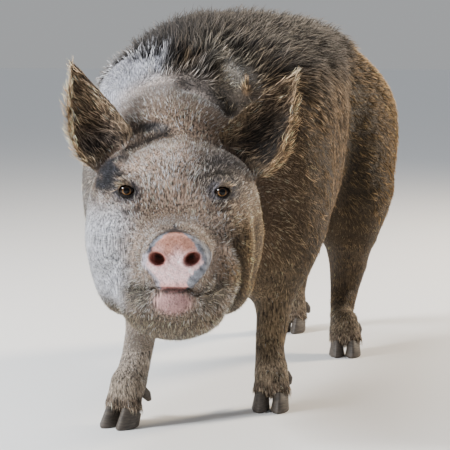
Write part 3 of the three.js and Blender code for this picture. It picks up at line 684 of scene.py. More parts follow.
def open_lids(h):
    """Lays the lids over the eyeballs, with wrinkles round them, and opens them."""
    for centre in eye_centres():
        u = h[:, 0] - centre[0]
        w = h[:, 2] - centre[2] - LID["tilt"] * u * np.sign(centre[0])
        out = np.hypot(u, w)
        radius = EYE["radius"] + LID["thick"]
        ball = centre[1] - np.sqrt(np.maximum(radius ** 2 - u ** 2 - w ** 2, 0))
        lid = np.where(out < radius, blend(h[:, 1], ball, LID["blend"]), h[:, 1])
        far = np.hypot(u / WRINKLES["wide"], w / WRINKLES["high"])
        for ring, rise in WRINKLES["rings"]:
            lid = lid + rise * bell(far - ring, WRINKLES["width"])
        r = np.hypot(u / LID["wide"], w / np.where(w > 0, LID["high"], LID["high"] * LID["lower"]))
        opened = centre[1] + LID["inside"]
        close = (out < 40) & (h[:, 1] < centre[1] + 30)
        h[:, 1] = np.where(close, opened + (lid - opened) * smooth(r, 0.93, 1.07), h[:, 1])


def sculpted(p):
    """The points of the skin with the nostrils, the disc's furrow and the lids worked into them."""
    q = to_head(p)
    part = (q[:, 1] < HEAD_BACK) & (p[:, 2] > 120)
    h = q[part]
    sink_nostrils(h)
    cut_furrow(h)
    open_lids(h)
    out = p.copy()
    out[part] = from_head(h)
    return out


def build_skin():
    """One closed skin: the body with its sculpted head, the ears and the tail."""
    made = build_body()
    points = points_of(made)
    set_points(made, sculpted(pressed(points, normals_of(skin_distance, points))))
    united(made, [build_ear(name, spec) for name, spec in EARS.items()] + [build_tail()])
    edited(made.data, lambda grid: bmesh.ops.triangulate(grid, faces=grid.faces))
    shade_smooth(made.data)
    # soften the crease where each ear grows out of the head
    points = points_of(made)
    weight = np.zeros(len(points))
    for _, inner, outer, _ in EARS.values():
        gap, _ = run_gap(to_head(points), np.array(inner, float), np.array(outer, float))
        weight = np.maximum(weight, falling(gap, 22, 44))
    set_points(made, relaxed(points, edges_of(made.data), weight * 0.6, 8))
    return made


# ------------------------------------------------------------------ eyes and claws
CLAW = {"edge": 0.0018, "sharp": math.radians(40), "weld": 1e-5, "flat": 0.02}


def build_eye(name, centre):
    """An eyeball with a bulging clear front over its iris."""
    turn = around(48)
    rings = []
    for tilt in np.linspace(0.03, math.pi - 0.03, 40):
        r = EYE["radius"] - EYE["slack"] + EYE["bulge"] * bell(tilt, EYE["bulge_wide"])
        wide = r * math.sin(tilt)
        ring = [wide * np.cos(turn), np.full(len(turn), -r * math.cos(tilt)), wide * np.sin(turn)]
        rings.append(centre + np.column_stack(ring))
    points, faces = loft(rings)
    return new_object(name + "_ball", from_head(points), faces)


def build_claw(node):
    """A claw's own CAD solid, rounded."""
    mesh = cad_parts[node].data.copy()
    made = add_object(node + "_horn", mesh)

    def simplified(solid):
        bmesh.ops.remove_doubles(solid, verts=solid.verts, dist=CLAW["weld"])
        bmesh.ops.dissolve_limit(solid, angle_limit=CLAW["flat"], verts=solid.verts, edges=solid.edges)

    edited(mesh, simplified)
    edge = made.modifiers.new("edge", "BEVEL")
    edge.width = CLAW["edge"]
    edge.segments = 2
    edge.limit_method = "ANGLE"
    edge.angle_limit = CLAW["sharp"]
    shade_smooth(mesh)
    return made


# ------------------------------------------------------------------ materials from nodes
def colour(code):
    """A written colour as linear red, green and blue."""
    part = np.array([int(code[k:k + 2], 16) for k in (0, 2, 4)]) / 255
    return np.where(part <= 0.04045, part / 12.92, ((part + 0.055) / 1.055) ** 2.4)


def fill(node, inputs):
    """Gives a node's inputs their values, or wires other nodes' outputs to them."""
    for key, value in inputs.items():
        if isinstance(value, bpy.types.NodeSocket):
            node.id_data.links.new(value, node.inputs[key])
        else:
            node.inputs[key].default_value = value


def add_node(tree, kind, inputs, out, **settings):
    """Adds a node with these inputs and settings, and returns its output of this name."""
    node = tree.nodes.new("ShaderNode" + kind)
    for key, value in settings.items():
        setattr(node, key, value)
    fill(node, inputs)
    return node.outputs[out]


def new_material(name):
    """A material, its nodes, the place on the object as one of them, and its shader."""
    paint = bpy.data.materials.new(name)
    paint.use_nodes = True
    tree = paint.node_tree
    return paint, tree, add_node(tree, "TexCoord", {}, "Object"), tree.nodes["Principled BSDF"]


def attribute(tree, name, out):
    return add_node(tree, "Attribute", {}, out, attribute_name=name)


def noise(tree, where, scale, detail, roughness=0.5):
    inputs = {"Vector": where, "Scale": scale, "Detail": detail, "Roughness": roughness}
    return add_node(tree, "TexNoise", inputs, "Fac")


def map_range(tree, value, span, onto=(0.0, 1.0)):
    """The value with a span of it stretched onto another."""
    inputs = {"Value": value, "From Min": span[0], "From Max": span[1], "To Min": onto[0], "To Max": onto[1]}
    return add_node(tree, "MapRange", inputs, "Result")


def scaled(tree, look, share):
    """A colour times a number."""
    return add_node(tree, "VectorMath", {0: look, "Scale": share}, "Vector", operation="SCALE")


def ramp(tree, value, stops):
    """The colour at a value, through stops of a place and a linear colour."""
    made = tree.nodes.new("ShaderNodeValToRGB")
    fill(made, {"Fac": value})
    marks = made.color_ramp.elements
    marks.remove(marks[1])
    for number, (spot, shade) in enumerate(stops):
        mark = marks.new(spot) if number else marks[0]
        mark.position = spot
        mark.color = (*shade, 1)
    return made.outputs["Color"]


def bump(tree, height, strength, distance, under=None):
    """A normal roughened by a height, over another normal."""
    inputs = {"Height": height, "Strength": strength, "Distance": distance}
    if under is not None:
        inputs["Normal"] = under
    return add_node(tree, "Bump", inputs, "Normal")


def paint_points(made, colours):
    """Stores the points' red, green and blue as the attribute that the materials read."""
    shades = np.column_stack([np.clip(colours, 0, 1), np.ones(len(colours))])
    store(made.data.color_attributes.new("tone", "FLOAT_COLOR", "POINT").data, "color", shades)


# ------------------------------------------------------------------ the scene
CAMERA = {"at": (0.7309, -2.6636, 0.571), "turn": 16.0, "down": 6.09, "lens": 127.52}
FLOOR = {"half": 60.0, "colour": (0.8, 0.79, 0.77, 1)}
LAMPS = [  # name, place, what it is aimed at, size, watts and colour: a cool front and a warm back
    ("key", (-2.6, -2.1, 2.0), (0, -0.4, 0.4), 0.8, 255, (0.95, 0.975, 1.0)),
    ("top", (-0.6, 0.0, 3.0), (0, 0, 0.4), 1.4, 60, (0.96, 0.98, 1.0)),
    ("sun", (2.2, 2.6, 2.0), (0, 0, 0.35), 0.6, 210, (1.0, 0.84, 0.64)),
]
SKY = [(0.12, (0.395, 0.405, 0.415)), (1.0, (0.5, 0.54, 0.6))]  # from just above level to straight up


def build_stage():
    half = FLOOR["half"]
    mesh = bpy.data.meshes.new("floor")
    corners = [(x * half, y * half, 0) for x, y in ((-1, -1), (1, -1), (1, 1), (-1, 1))]
    mesh.from_pydata(corners, [], [(0, 1, 2, 3)])
    floor = add_object("floor", mesh)
    paint, _, _, shader = new_material("floor")
    fill(shader, {"Base Color": FLOOR["colour"], "Roughness": 0.9})
    mesh.materials.append(paint)


def build_lights():
    world = bpy.data.worlds.new("studio")
    world.use_nodes = True
    tree = world.node_tree
    way = add_node(tree, "TexCoord", {}, "Generated")
    height = add_node(tree, "SeparateXYZ", {"Vector": way}, "Z")
    fill(tree.nodes["Background"], {"Color": ramp(tree, height, SKY)})
    bpy.context.scene.world = world
    for name, at, aim, size, watts, tint in LAMPS:
        lamp = bpy.data.lights.new(name, "AREA")
        lamp.size = size
        lamp.energy = watts
        lamp.color = tint
        holder = add_object(name, lamp)
        holder.location = at
        holder.rotation_euler = (Vector(aim) - Vector(at)).to_track_quat("-Z", "Y").to_euler()


def build_camera():
    view = bpy.data.cameras.new("camera")
    view.lens = CAMERA["lens"]
    view.sensor_width = 36
    holder = add_object("camera", view)
    holder.location = CAMERA["at"]
    holder.rotation_euler = (math.pi / 2 - math.radians(CAMERA["down"]), 0, math.radians(CAMERA["turn"]))
    bpy.context.scene.camera = holder


# ------------------------------------------------------------------ markings, with painted shade and highlight, shared by skin and coat
def waves(p, size, seed, count=6):
    """A smooth irregular pattern from -1 to 1, with patches about as wide as size."""
    rng = np.random.default_rng(seed)
    total = np.zeros(len(p))
    for _ in range(count):
        way = unit(rng.normal(size=3))
        total += np.sin(p @ way * (2 * np.pi / (size * rng.uniform(0.7, 1.6))) + rng.uniform(0, 2 * np.pi))
    return total / math.sqrt(count)


def ball_mask(q, at, size, soft=0.35):
    """1 inside an egg-shaped region and 0 outside it, with a soft edge."""
    r = np.linalg.norm((q - np.array(at, float)) / np.array(size, float), axis=1)
    return falling(r, 1 - soft, 1 + soft)


class Place:
    """What regions are told apart by: the place in both frames, which way the skin faces, and the parts.

    On an ear, inside is 1 on its open side, along runs from root to tip, across runs from -1 at the inner
    edge to 1 at the outer one, and edge is 1 on its rim."""

    def __init__(self, p, n):
        self.p, self.n = p, n
        self.q = to_head(p)
        self.x, self.y, self.z = p.T
        self.a, self.b, self.c = self.q.T
        self.mirrored = np.column_stack([np.abs(self.a), self.b, self.c])
        off = skin_distance(p)
        self.head = falling(self.b, 240, 310) * smooth(self.c, -175, -140)
        self.ear = smooth(off, 4, 10) * (self.b < 300) * (self.c > 60)
        self.tail = smooth(off, 3, 8) * (self.y > 480)
        self.inside, self.along, self.across = np.zeros((3, len(p)))
        for spec in EARS.values():
            root, wing, tip, opening, outwards = ear_frame(spec)
            middle = (root + wing) / 2
            long = tip - middle
            reach = np.linalg.norm(long)
            t = np.clip((self.q - middle) @ (long / reach) / reach, 0, 1)
            wide = np.linalg.norm(wing - root) / 2 * (1 - t) + 4 + 12 * np.sin(np.pi * t)
            beside = (self.q - (middle + long * t[:, None])) @ outwards / wide
            front = smooth(n @ head_way(opening[None])[0], -0.25, 0.25)
            mine = self.a * spec[0] > 0
            self.inside = np.where(mine, front, self.inside)
            self.along = np.where(mine, t, self.along)
            self.across = np.where(mine, beside, self.across)
        self.edge = smooth(np.abs(self.across), 0.8, 1.1)


# Each region lies over the ones before it: where it is; tufts to the square centimetre; their length, width
# and lift; and the colours of the skin, of the hair's root and of its tip.
REGIONS = [
    ("flank", lambda s: np.ones(len(s.p)), 19.0, 12, 0.72, 9, "3a2f22", "1c1710", "75614a"),
    ("neck", lambda s: falling(s.y + 20 * waves(s.p, 70, 18), -400, -180),
     18.0, 11, 0.7, 9, "463728", "231b13", "8e7657"),
    ("right_neck", lambda s: smooth(-s.x, 60, 150) * falling(s.y + 20 * waves(s.p, 70, 18), -430, -250),
     18.0, 11, 0.65, 10, "66605b", "34302d", "bdb5ab"),
    ("belly", lambda s: falling(s.z, 170, 260), 10.0, 12, 0.65, 9, "43372a", "251e17", "786444"),
    ("back", lambda s: smooth(s.z + 34 * waves(s.p, 110, 3) + 20 * waves(s.p, 38, 7), 380, 610)
     * smooth(s.y, -330, -240), 13.0, 22, 0.95, 16, "221c16", "110f0c", "5c4f41"),
    ("crest", lambda s: smooth(
        s.z + 12 * waves(s.p, 60, 4) - np.interp(s.y, (-340, -200, 100), (540, 550, 570)), -35, 20),
     13.0, 40, 0.75, 30, "151312", "100e0e", "38332f"),
    ("rump", lambda s: smooth(s.y, 230, 400) * falling(s.z, 560, 620),
     15.0, 14, 0.7, 12, "4f3e29", "292016", "957950"),
    ("ham", lambda s: smooth(s.y, 200, 330) * falling(s.z, 330, 420),
     15.0, 13, 0.65, 11, "40321d", "221a10", "7c613a"),
    # painted shade: the hollow of the flank before the left ham, behind the barrel's bulge, is painted darker
    # as if in shadow
    ("stifle_painted_shade", lambda s: ball_mask(s.p, (128, 222, 385), (70, 50, 130), 0.5),
     15.0, 13, 0.7, 10, "2f261b", "1c1610", "655338"),
    ("withers", lambda s: ball_mask(s.p, (-156, -285, 548), (42, 60, 50)),
     7.0, 25, 0.55, 42, "7d7b80", "2a2624", "6a635c"),
    ("shoulder", lambda s: falling(s.x + 8 * waves(s.p, 40, 9), -86, -50)
     * ball_mask(s.p + 10 * waves(s.p, 34, 19)[:, None], (-145, -350, 512), (90, 62, 90), 0.4),
     14.0, 11, 0.6, 13, "9c9ca4", "47454a", "f4f3f8"),
    ("roll", lambda s: ball_mask(s.q, (-4, 300, 198), (84, 70, 56), 0.3),
     22.0, 8, 0.55, 12, "a5978e", "544a44", "efe4da"),
    ("nape", lambda s: ball_mask(s.q, (92, 310, 232), (36, 60, 50), 0.4),
     17.0, 12, 0.65, 15, "463d34", "27221d", "93846e"),
    ("second_roll", lambda s: 0.9 * fold_mask(s.q, "second_roll", 14, 0.35),
     19.0, 10, 0.6, 12, "746d64", "37322c", "c6bcab"),
    ("leg", lambda s: falling(s.z + 24 * waves(s.p, 50, 17), 130, 290),
     14.0, 9, 0.65, 8, "5d4e3b", "352b21", "b09a78"),
    ("hind_leg", lambda s: falling(s.z, 190, 300) * (s.y > 0),
     14.0, 9, 0.65, 8, "46392a", "281f16", "876f4b"),
    ("right_foreleg", lambda s: falling(s.z + 22 * waves(s.p, 46, 20), 110, 300) * (s.x < 0)
     * falling(s.y, -340, -240), 14.0, 8, 0.65, 8, "92867a", "544a40", "ebe0d0"),
    ("foot", lambda s: falling(s.z, 60, 110) * (1 - 0.35 * (s.y > 0)) * (1 - 0.5 * (s.x < 0) * (s.y < 0)),
     16.0, 8, 0.6, 7, "766857", "463c32", "c6b598"),
    ("coronet", lambda s: falling(s.z, 40, 52), 26.0, 15.5, 0.7, 3, "5b4e42", "463c33", "a29280"),
    ("head", lambda s: s.head, 26.0, 9, 0.62, 14, "6b594b", "2b221c", "d6bea6"),
    ("right_cheek", lambda s: s.head * smooth(-s.a, 40, 88) * falling(s.c, 30, 90)
     * (1 - 0.55 * smooth(s.b, 150, 250)), 21.0, 9, 0.62, 12, "a6a6ac", "414045", "ffffff"),
    ("left_cheek", lambda s: s.head * smooth(s.a, 56, 100) * falling(s.c, 20, 90),
     26.0, 9, 0.58, 12, "54432f", "2d241a", "a1875f"),
    ("forehead", lambda s: s.head * ball_mask(s.q, (-14, 170, 110), (84, 200, 42)),
     26.0, 10, 0.64, 15, "957e6e", "41332a", "ffe9d4"),
    ("left_brow", lambda s: s.head * ball_mask(s.q, (66, 170, 108), (44, 200, 38), 0.5),
     30.0, 9, 0.62, 15, "3c3531", "1e1a18", "8c837c"),
    ("muzzle", lambda s: s.head * falling(s.b, 50, 90), 28.0, 7.5, 0.55, 16, "7a6a5e", "392c25", "f2dfcd"),
    ("chin", lambda s: s.head * falling(s.c, -88, -56), 24.0, 10, 0.6, 15, "584c40", "2e261f", "a19279"),
    ("mouth_sides", lambda s: s.head * smooth(np.abs(s.a), 26, 44)
     * ball_mask(s.q, (0, 50, -52), (90, 80, 24)), 26.0, 9, 0.58, 17, "47413b", "2a2521", "b3a591"),
    ("eye_ring", lambda s: s.head * ball_mask(s.mirrored, (69.5, 130, 88), (24, 90, 17)),
     26.0, 6, 0.45, 18, "4d494c", "261f1c", "988e86"),
    ("temple", lambda s: s.head
     * ball_mask(s.q + 6 * waves(s.q, 24, 8)[:, None], (-94, 165, 112), (28, 62, 40), 0.5),
     28.0, 9, 0.6, 17, "151518", "08080a", "3c3c43"),
    ("poll", lambda s: s.head * ball_mask(s.q, (-30, 245, 172), (24, 50, 8)),
     18.0, 8, 0.55, 12, "4c4847", "2c2928", "958b83"),
    ("lids", lambda s: s.head * ball_mask(s.mirrored, (69.5, 120, 86.5), (13, 90, 9.4), 0.1),
     0.0, 3, 0.5, 16, "15110f", "1d1816", "1d1816"),
    ("lip", lambda s: s.head * ball_mask(s.q, (-3, 20, -57.5), (26, 40, 17.5), 0.35),
     4.0, 5, 0.45, 18, "a07c79", "6f5650", "dccdbc"),
    ("snout", lambda s: bare_snout(s), 0.0, 4, 0.4, 20, "5d6874", "5d6874", "5d6874"),
    ("ear_back", lambda s: s.ear, 16.0, 13, 0.75, 12, "6b5a48", "42362c", "b09a7a"),
    ("ear_front", lambda s: s.ear * s.inside, 22.0, 17, 0.75, 15, "5a4b3f", "332922", "b89d7f"),
    ("ear_bowl", lambda s: s.ear * s.inside * falling(s.along, 0.15, 0.45),
     15.0, 14, 0.75, 18, "322b28", "1f1b19", "7a6c60"),
    ("left_ear_bowl", lambda s: s.ear * s.inside * (s.x > 0) * falling(s.along, 0.4, 0.9),
     15.0, 14, 0.75, 16, "241f1b", "161311", "5c4f42"),
    ("ear_root", lambda s: s.ear * np.maximum(
        s.inside * falling(s.across, -0.8, -0.1) * falling(s.along, 0.4, 0.8),
        0.8 * falling(s.along, 0.02, 0.14)),
     24.0, 11, 0.65, 14, "63523f", "2b231b", "b39a7d"),
    ("ear_rim", lambda s: s.ear * s.edge, 24.0, 15, 0.65, 32, "735b42", "5c4733", "c4a27a"),
    ("tail", lambda s: s.tail, 12.0, 15, 0.8, 12, "5c4a36", "3a2f22", "947a54"),
    ("tail_tuft", lambda s: s.tail * falling(s.z, 300, 360),
     16.0, 46, 1.0, 12, "352b22", "2a211a", "7a6748"),
]

# folds whose hair is painted darker as shade in their creases or paler as highlight on their ridges: name,
# width and share of the colour
PAINTED_FOLD_SHADING = [
    ("brow_crease", 7.0, 0.2), ("poll_crease", 6.0, 0.45), ("jowl_valley", 7.0, 0.4),
    ("jowl_ridge", 6.0, 2.0), ("cheek_valley", 5.0, 0.5), ("cheek_ridge", 5.0, 1.7),
    ("roll_valley", 11.0, 0.3), ("left_pouch", 3.0, 0.5), ("right_pouch", 3.0, 0.5),
    ("left_brow", 3.4, 0.5), ("right_brow", 3.4, 0.5), ("disc_top", 3.0, 0.3),
]


def fold_mask(q, name, width, fade=0.12):
    """1 along a fold, fading beside it and towards its ends."""
    path, _, _, nearest, furthest = FOLDS[name]
    gap, along = path_gap(q, path)
    ends = smooth(np.minimum(along, 1 - along), 0, fade)
    return bell(gap, width) * ends * (q[:, 1] > nearest - 10) * (q[:, 1] < furthest)


def coat_of(place):
    """Density, length, width, lift and the three colours of the coat at each place, with painted shade and
    highlight along the folds.
    """
    total = np.zeros((len(place.p), 13))
    for _, where, density, length, width, lift, *codes in REGIONS:
        row = np.concatenate([[density, length, width, lift], *map(colour, codes)])
        total = laid(total, row, np.clip(where(place), 0, 1))
    # painted shade darkens the hair in the folds' creases, and painted highlight lightens it on their ridges
    for name, width, share in PAINTED_FOLD_SHADING:
        total[:, 4:] *= 1 + (share - 1) * fold_mask(place.q, name, width)[:, None]
    return total


# the snout's bare skin: how wide it is to the pig's left and right at each height, and its pink part
SNOUT_EDGE = {
    "height": (-50, -41, -36, -26, -14, -2, 8, 18, 26, 33, 39, 43),
    "left": (-30, 14, 24, 31, 44, 51, 50, 43, 35, 26, 12, 0),
    "right": (-30, 14, 24, 25, 36, 44, 43, 37, 30, 22, 11, 0),
    "left_pink": (-30, 14, 18, 18, 26, 38, 35, 30, 25, 18, 8, 0),
    "right_pink": (-30, 16, 20, 21, 32, 39, 37, 31, 25, 18, 8, 0),
}


def snout_reach(place, kind):
    """How far inside an edge of the snout's bare skin each place is."""
    a, _, c = place.q.T
    far = [np.interp(c, SNOUT_EDGE["height"], SNOUT_EDGE[side + kind]) for side in ("left", "right")]
    return np.where(a > 0, far[0] - a, far[1] + a) + 1.3 * waves(place.q, 8, 11)


def bare_snout(place):
    """1 on the snout's bare skin."""
    return smooth(snout_reach(place, ""), -4, 3) * falling(place.b, 30, 46) * place.head


def mixed(look, code, amount):
    """Colours mixed with a written one, each by its amount."""
    return laid(look, colour(code), np.clip(amount, 0, 1))


def snout_colours(place, tone):
    """The disc's pink, redder above, with slate-grey sides and freckles, painted shade along its top edge,
    and red-brown nostrils with painted shade in their pits and painted light on their outer sides.
    """
    a, _, c = place.q.T
    look = colour("82848c") * (1 + 0.3 * waves(place.q, 9, 13))[:, None]
    pink = mixed(colour("ffd4d5"), "b98472", smooth(c + 4 * waves(place.q, 22, 14), 0, 24))
    pink = mixed(pink, "dc9c93", 0.8 * falling(c, -37, -22))
    pink = mixed(pink, "6a3a30", smooth(waves(place.q, 5.0, 12, 10), 0.9, 1.5) * smooth(c, -4, 12) * 0.75)
    pink = pink * (1 + 0.14 * waves(place.q, 5, 15) + 0.09 * waves(place.q, 13, 16))[:, None]
    look = mixed(look, "b7adb5", smooth(-a, 8, 20) * falling(c, 6, 22))
    look = laid(look, pink, smooth(snout_reach(place, "_pink"), -1.2, 1.2))
    look = mixed(look, "20242c", ball_mask(place.q, (-38, 0, 18), (7, 40, 6)) * 0.9)
    # painted shade: a dark band along the disc's top edge, under the fold that overhangs it
    look = mixed(look, "2a1e1a", smooth(c - 41 + (a / 16) ** 2, -4.5, -1.5) * (np.abs(a) < 34))
    for side in (1, -1):
        off = a - side * NOSTRIL["apart"] / 2
        outer = a * side - 24
        lean = c - NOSTRIL["height"] - 0.12 * side * off
        r = np.hypot(off / NOSTRIL["wide"], lean / NOSTRIL["high"])
        look = mixed(look, "94584a", falling(r, 0.9, 1.4) * 0.8)
        look = mixed(look, "643328", falling(r, 0.7, 1.0))
        # painted light: the outer side of each pit is painted a paler pink, as where light reaches in;
        # painted shade: its upper inner part is painted near black
        look = mixed(look, "b9776f", falling(r, 0.5, 0.9) * smooth(outer, 0, 9) * 0.8)
        look = mixed(look, "1c0d0b", falling(r, 0.3, 0.8) * smooth(lean, -7, 2) * falling(outer, 0, 8))
    return laid(tone, look, bare_snout(place))


def skin_colours(place, rows):
    """The skin's colours: its regions, mottled, with the snout, the mouth's crease painted dark as shade, and
    a painted shadow under the disc.
    """
    tone = rows[:, 4:7] * (1 + 0.16 * waves(place.p, 60, 5) + 0.1 * waves(place.p, 17, 6))[:, None]
    tone = snout_colours(place, tone)
    # painted shade: the mouth's crease is drawn as a dark line, weaker towards its corners
    corners = smooth(place.a * np.where(place.a > 0, 1, -1.2), 14, 30)
    line = fold_mask(place.q, "mouth", 3.2, 0.3) * (1 - 0.85 * corners)
    # painted shadow: a dark band under the disc's lower edge
    painted_shadow_under_disc = ball_mask(place.q, (0, 20, -42), (24, 60, 3.6), 0.6) * place.head
    return tone * (1 - 0.88 * line[:, None]) * (1 - 0.65 * painted_shadow_under_disc[:, None])


# ------------------------------------------------------------------ the lie of the coat
def lie_of(place):
    """Which way the hair points at each place, along the skin."""
    count = len(place.p)
    beside = np.clip((place.x - ring_at(place.y)[:, 0]) / 190, -1, 1)
    way = np.column_stack([0.25 * beside, np.ones(count), -0.15 - 0.75 * np.abs(beside) ** 2])
    way = laid(way, np.array([0, 0.5, -1.0]), smooth(place.y, 300, 480))
    way = laid(way, np.array([0, 0.25, -1.0]), falling(place.z, 190, 300))
    # the face: away from the snout, upwards on the forehead and outwards on the cheeks
    face = unit(place.q - np.array([0, -40, 22.0]))
    face += np.column_stack([np.zeros(count), np.full(count, 0.5), -0.35 * smooth(-place.c, -30, 60)])
    way = laid(unit(way), unit(head_way(face)), place.head)
    # the ears: along them, fanning outwards, and back over the inner rim
    for spec in EARS.values():
        root, wing, tip, _, outwards = ear_frame(spec)
        fan = unit(tip - (root + wing) / 2) + outwards * (0.75 - 0.4 * place.along)[:, None]
        inner = place.edge * ((place.q - (root + tip) / 2) @ outwards < 0)
        fan = fan - outwards * (1.1 * inner)[:, None]
        way = laid(way, unit(head_way(fan)), place.ear * (place.a * spec[0] > 0))
    way = laid(way, np.array([0, 0.1, -1.0]), place.tail)
    return unit(way - place.n * (way * place.n).sum(1)[:, None])


def squeezed(p, way, at):
    """Places drawn together along a direction, towards a point."""
    way = unit(np.array(way, float))
    return p - np.outer((p - np.array(at, float)) @ way, way) * 0.85


def grain_of(place):
    """Places in metres squeezed along the hair, so that noise over them runs in streaks like short fur."""
    beside = smooth(np.abs(place.x - ring_at(place.y)[:, 0]), 60, 150)
    hips = np.maximum(smooth(place.y, 320, 400), falling(place.z, 210, 280))
    fan = place.q * np.array([1, 1, 0.15])
    fan[:, 0] *= 1 - 0.25 * smooth(place.c, 60, 160)
    grain = squeezed(place.p, (0, 1, -0.15), (0, 0, 500))
    grain = laid(grain, squeezed(place.p, (0, 0.75, -0.66), (0, 0, 400)), beside)
    grain = laid(grain, squeezed(place.p, (0, 0.2, -1), (0, 100, 250)), hips)
    return laid(grain, fan, place.head) * 0.001


# ------------------------------------------------------------------ tufts
TUFTS = {"patch": 0.003, "sunk": 0.8, "most": 165000, "bent_over": 16.0}
SEED = 2104
PALE_SHARE = 0.34  # the rest of the tufts are dark
SWING = {"broad": 9, "narrow": 7, "each": 9}  # degrees that the lie of the tufts sways by
STREAKS = {"narrow": 0.44, "broad": 0.28, "patches": 0.16, "each": 0.28}  # how far their tones differ
PALE = {"length": 1.25, "width": 1.5, "lift": 1.15, "root": 0.7, "tip": 2.0}
DARK = {"length": 1.0, "width": 0.9, "lift": 1.0, "root": 0.4, "tip": 0.3}
# a straight tuft is a thin four-sided solid; a bent one has a ring of three more corners halfway
STRAIGHT = np.array([(0, 2, 1), (0, 1, 3), (1, 2, 3), (2, 0, 3)])
BENT = np.array([
    (0, 2, 1), (0, 1, 4), (0, 4, 3), (1, 2, 5), (1, 5, 4), (2, 0, 3), (2, 3, 5),
    (3, 4, 6), (4, 5, 6), (5, 3, 6),
])
PATCH = np.array([(0, 0), (0.5, 0), (1, 0), (0, 0.6), (0.5, 0.6), (1, 0.6), (0.5, 1)]) - 0.5


class Skin:
    """The skin's triangles as arrays, for planting the coat."""

    def __init__(self, made):
        mesh = made.data
        self.points = points_of(made)
        count = len(mesh.polygons)
        self.faces = np.zeros(count * 3, int)
        mesh.polygons.foreach_get("vertices", self.faces)
        self.faces = self.faces.reshape(-1, 3)
        corners = self.points[self.faces]
        across = np.cross(corners[:, 1] - corners[:, 0], corners[:, 2] - corners[:, 0])
        self.area = np.linalg.norm(across, axis=1) / 2
        normals = np.zeros_like(self.points)
        for k in range(3):
            np.add.at(normals, self.faces[:, k], across)
        self.normals = unit(normals)
        self.map = np.zeros(count * 6)
        mesh.uv_layers["OFBake"].data.foreach_get("uv", self.map)
        self.map = self.map.reshape(-1, 3, 2)
        self.place = Place(self.points, self.normals)
        self.rows = coat_of(self.place)

    def planted(self, rng, wanted):
        """Roots over the triangles where wanted is true, as triangle numbers and weights of their corners."""
        density = self.rows[self.faces, 0].mean(1) * wanted
        face = np.repeat(np.arange(len(self.faces)), rng.poisson(self.area * density / 100))
        u, v = rng.random(len(face)), rng.random(len(face))
        over = u + v > 1
        u[over], v[over] = 1 - u[over], 1 - v[over]
        return face, np.column_stack([1 - u - v, u, v])


def thinned(skin, face, weights):
    """The roots evenly thinned until their tufts stay under the most triangles set for one piece."""
    long = skin.rows[skin.faces[face], 1].mean(1) > TUFTS["bent_over"]
    cost = np.where(long, len(BENT), len(STRAIGHT)).sum()
    step = max(1.0, cost / TUFTS["most"])
    keep = np.unique((np.arange(int(len(face) / step)) * step).astype(int))
    return face[keep], weights[keep]


def build_tufts(name, skin, rng, face, weights, paint):
    """One piece of coat: a closed, thin spike at each root, bent where it is long."""
    corner = skin.faces[face]
    count = len(face)

    def at_root(values):
        return (values[corner] * weights[:, :, None]).sum(1)

    root, normal, rows = at_root(skin.points), unit(at_root(skin.normals)), at_root(skin.rows)
    place = Place(root, normal)
    way = lie_of(place)
    side = np.cross(normal, way)
    swing = SWING["broad"] * waves(root, 46, 21) + SWING["narrow"] * waves(root, 15, 24)
    swing = np.radians(swing + rng.normal(0, SWING["each"], count))[:, None]
    way, side = way * np.cos(swing) + side * np.sin(swing), side * np.cos(swing) - way * np.sin(swing)
    pale = rng.random(count) < PALE_SHARE

    def kind(measure):
        return np.where(pale, PALE[measure], DARK[measure])

    length = rows[:, 1] * rng.uniform(0.6, 1.15, count) * kind("length") * (1 + 0.12 * waves(root, 30, 22))
    width = (rows[:, 2] * rng.uniform(0.7, 1.3, count) * kind("width"))[:, None]
    lift = np.radians(rows[:, 3] * rng.uniform(0.5, 1.4, count) * kind("lift"))[:, None]
    first = way * np.cos(lift * 1.3) + normal * np.sin(lift * 1.3)
    then = way * np.cos(lift * 0.3) + normal * np.sin(lift * 0.3)
    then = unit(then + side * rng.normal(0, 0.12, count)[:, None])
    half = (length * 0.5)[:, None]
    base = root - normal * TUFTS["sunk"]
    middle = base + first * half
    tip = middle + then * half
    up = np.cross(first, side)
    spread = [side * math.cos(turn) + up * math.sin(turn) * 0.7 for turn in around(3) + np.pi / 2]
    low = [base + out * (width * 0.5) for out in spread]
    high = [middle + out * (width * 0.45) for out in spread]
    # each tuft has a tone of its own, streaked along the lie, dark at its root and paler at its tip
    grain = grain_of(place) * 1000
    streaks = STREAKS["narrow"] * waves(grain, 5, 25) + STREAKS["broad"] * waves(grain, 11, 26)
    streaks += STREAKS["patches"] * waves(root, 26, 23)
    tone = np.exp(rng.normal(0, STREAKS["each"], count) + streaks)[:, None]
    root_tone = rows[:, 7:10] * tone * kind("root")[:, None]
    tip_tone = rows[:, 10:13] * tone * kind("tip")[:, None]
    middle_tone = root_tone * 0.4 + tip_tone * 0.6
    spot = (skin.map[face] * weights[:, :, None]).sum(1)[:, None, None]
    bent = length > TUFTS["bent_over"]
    points, faces, tones, maps = [], [], [], []
    start = 0
    for shape, chosen, corners, shades, patch in (
        (STRAIGHT, ~bent, [*low, tip], [root_tone] * 3 + [tip_tone], PATCH[[0, 1, 2, 6]]),
        (BENT, bent, [*low, *high, tip], [root_tone] * 3 + [middle_tone] * 3 + [tip_tone], PATCH),
    ):
        number = int(chosen.sum())
        points.append(np.stack([each[chosen] for each in corners], 1).reshape(-1, 3))
        tones.append(np.stack([each[chosen] for each in shades], 1).reshape(-1, 3))
        faces.append((shape + start + len(corners) * np.arange(number)[:, None, None]).reshape(-1, 3))
        maps.append((spot[chosen] + patch[shape] * TUFTS["patch"]).reshape(-1, 2))
        start += len(corners) * number
    made = new_object(name, np.concatenate(points), np.concatenate(faces))
    paint_points(made, np.concatenate(tones))
    layer = made.data.uv_layers.new(name="OFBake")
    store(layer.data, "uv", np.clip(np.concatenate(maps), 0, 1))
    made.data.materials.append(paint)
    return made


